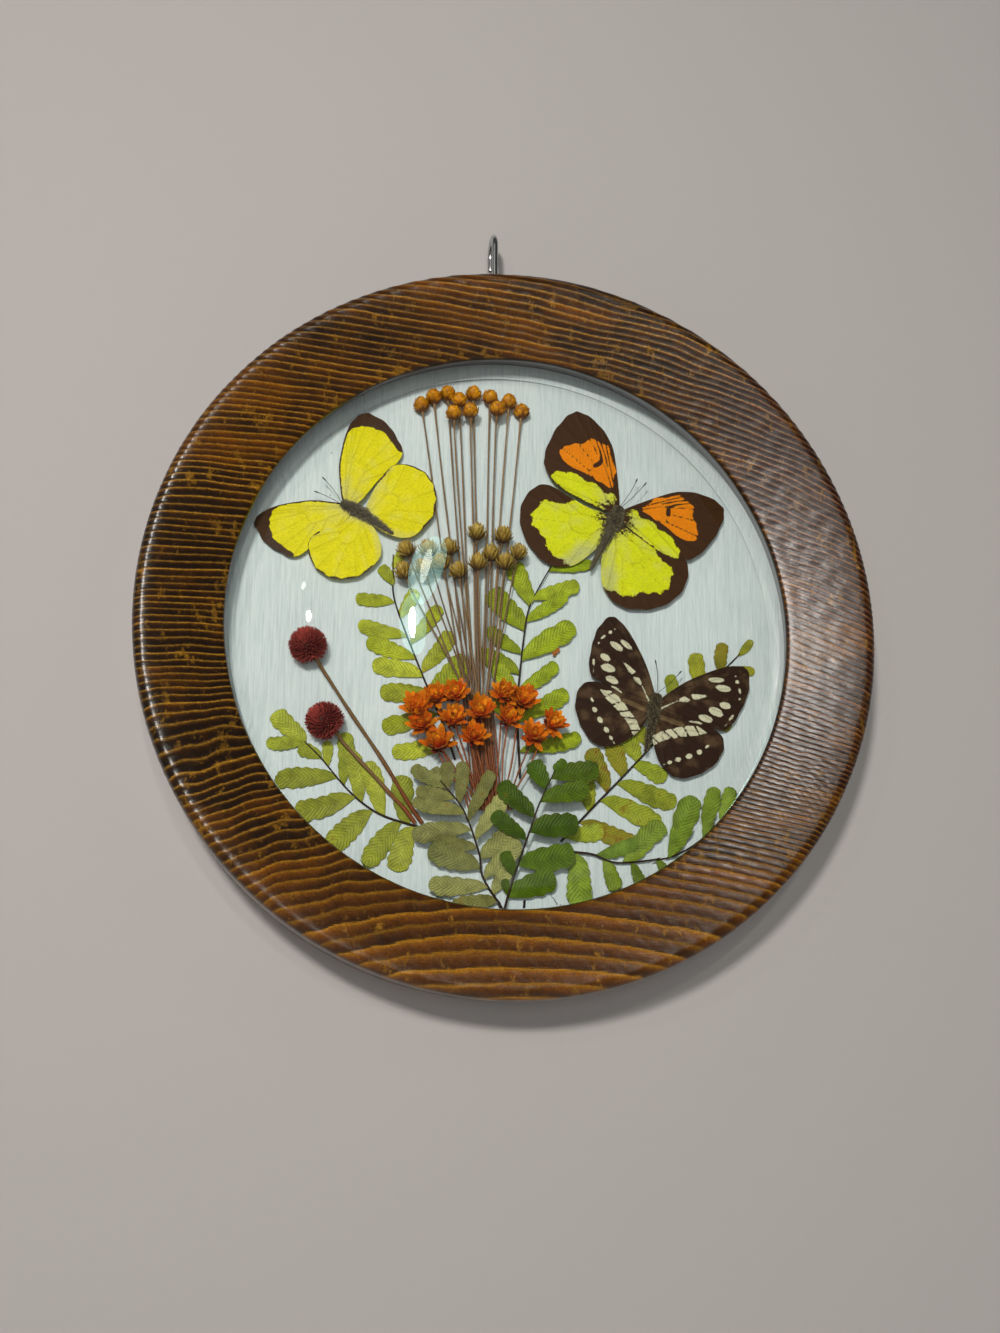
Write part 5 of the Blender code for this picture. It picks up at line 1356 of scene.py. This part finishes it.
class WALLPICTURE_OT_stage(bpy.types.Operator):
    """Set the pale wall and floor, the soft lamps and the camera"""
    bl_idname = "wall_picture.stage"
    bl_label = "Stage"

    def execute(self, context):
        scene = context.scene
        wall_paint, tree, shader = start_material("matt_wall_paint", Roughness=0.9, Base_Color=rgba("#BAB5B3"))
        # The wall is seen only from its front, so views from behind show the object's back.
        clear = add(tree, "BsdfTransparent")
        behind = add(tree, "NewGeometry").outputs["Backfacing"]
        cover = add(tree, "MixShader", {0: behind, 1: shader, 2: clear})
        connect(tree, tree.nodes["Material Output"], {"Surface": cover})
        floor_paint = start_material("matt_floor_paint", Roughness=0.9, Base_Color=rgba("#D8D5CE"))[0]
        left, right, front = -ROOM_REACH, ROOM_REACH, -2 * ROOM_REACH
        plans = [
            ("wall", wall_paint, [(left, WALL_Y, FLOOR_Z), (right, WALL_Y, FLOOR_Z), (right, WALL_Y, ROOM_REACH),
                                  (left, WALL_Y, ROOM_REACH)]),
            ("floor", floor_paint, [(left, front, FLOOR_Z), (right, front, FLOOR_Z), (right, WALL_Y, FLOOR_Z),
                                    (left, WALL_Y, FLOOR_Z)]),
        ]
        for name, paint, corners in plans:
            mesh = bpy.data.meshes.new(name)
            mesh.from_pydata(corners, [], [(0, 1, 2, 3)])
            mesh.materials.append(paint)
            sheet = bpy.data.objects.new(name, mesh)
            scene.collection.objects.link(sheet)
        bpy.data.objects["wall"].visible_shadow = False
        for name, spot, wide, tall, power, colour, mirrored, spread in LAMPS:
            lamp = bpy.data.lights.new(name, "AREA")
            lamp.shape = "ELLIPSE"
            lamp.size, lamp.size_y, lamp.energy, lamp.color = wide, tall, power, rgb(colour)
            holder = bpy.data.objects.new(name, lamp)
            holder.location = spot
            holder.visible_glossy, holder.visible_diffuse = mirrored, spread
            holder.visible_transmission = False
            turn = math.atan2(spot[0], -spot[1])
            tilt = math.atan2(spot[2], math.hypot(spot[0], spot[1]))
            holder.rotation_euler = (math.pi / 2 - tilt, 0, turn)
            scene.collection.objects.link(holder)
        world = bpy.data.worlds.new("soft_room")
        world.use_nodes = True
        connect(world.node_tree, world.node_tree.nodes["Background"], {"Color": rgba("#E4EAEE"), "Strength": 0.055})
        scene.world = world
        scene.view_settings.view_transform = "Standard"
        camera = bpy.data.cameras.new("viewpoint")
        camera.lens, camera.sensor_width = CAMERA_LENS, CAMERA_SENSOR
        holder = bpy.data.objects.new("viewpoint", camera)
        holder.location = CAMERA_PLACE
        holder.rotation_euler = (CAMERA_TILT, 0, CAMERA_TURN)
        scene.collection.objects.link(holder)
        scene.camera = holder
        return {"FINISHED"}


OPERATORS = [WALLPICTURE_OT_ring, WALLPICTURE_OT_glass, WALLPICTURE_OT_backing, WALLPICTURE_OT_hook,
             WALLPICTURE_OT_ferns, WALLPICTURE_OT_flowers, WALLPICTURE_OT_butterflies, WALLPICTURE_OT_stage]


class WALLPICTURE_PT_panel(bpy.types.Panel):
    """Sizes, colours and steps of the wall picture"""
    bl_idname = "WALLPICTURE_PT_panel"
    bl_label = "Wall Picture"
    bl_space_type = "VIEW_3D"
    bl_region_type = "UI"
    bl_category = "Wall Picture"

    def draw(self, context):
        for settings in (context.scene.picture_case, context.scene.picture_specimens):
            box = self.layout.box()
            for name in settings.__annotations__:
                box.prop(settings, name)
        for step in OPERATORS:
            self.layout.operator(step.bl_idname)


CLASSES = [CaseSettings, SpecimenSettings, *OPERATORS, WALLPICTURE_PT_panel]


def register():
    """Adds the settings, the operators and the panel."""
    for cls in CLASSES:
        bpy.utils.register_class(cls)
    bpy.types.Scene.picture_case = bpy.props.PointerProperty(type=CaseSettings)
    bpy.types.Scene.picture_specimens = bpy.props.PointerProperty(type=SpecimenSettings)


def unregister():
    """Takes them away again."""
    del bpy.types.Scene.picture_case
    del bpy.types.Scene.picture_specimens
    for cls in reversed(CLASSES):
        bpy.utils.unregister_class(cls)


def main():
    """Builds every piece and the stage."""
    register()
    bpy.ops.wall_picture.ring()
    bpy.ops.wall_picture.glass()
    bpy.ops.wall_picture.backing()
    bpy.ops.wall_picture.hook()
    bpy.ops.wall_picture.ferns()
    bpy.ops.wall_picture.flowers()
    bpy.ops.wall_picture.butterflies()
    bpy.ops.wall_picture.stage()


if __name__ == "__main__":
    main()
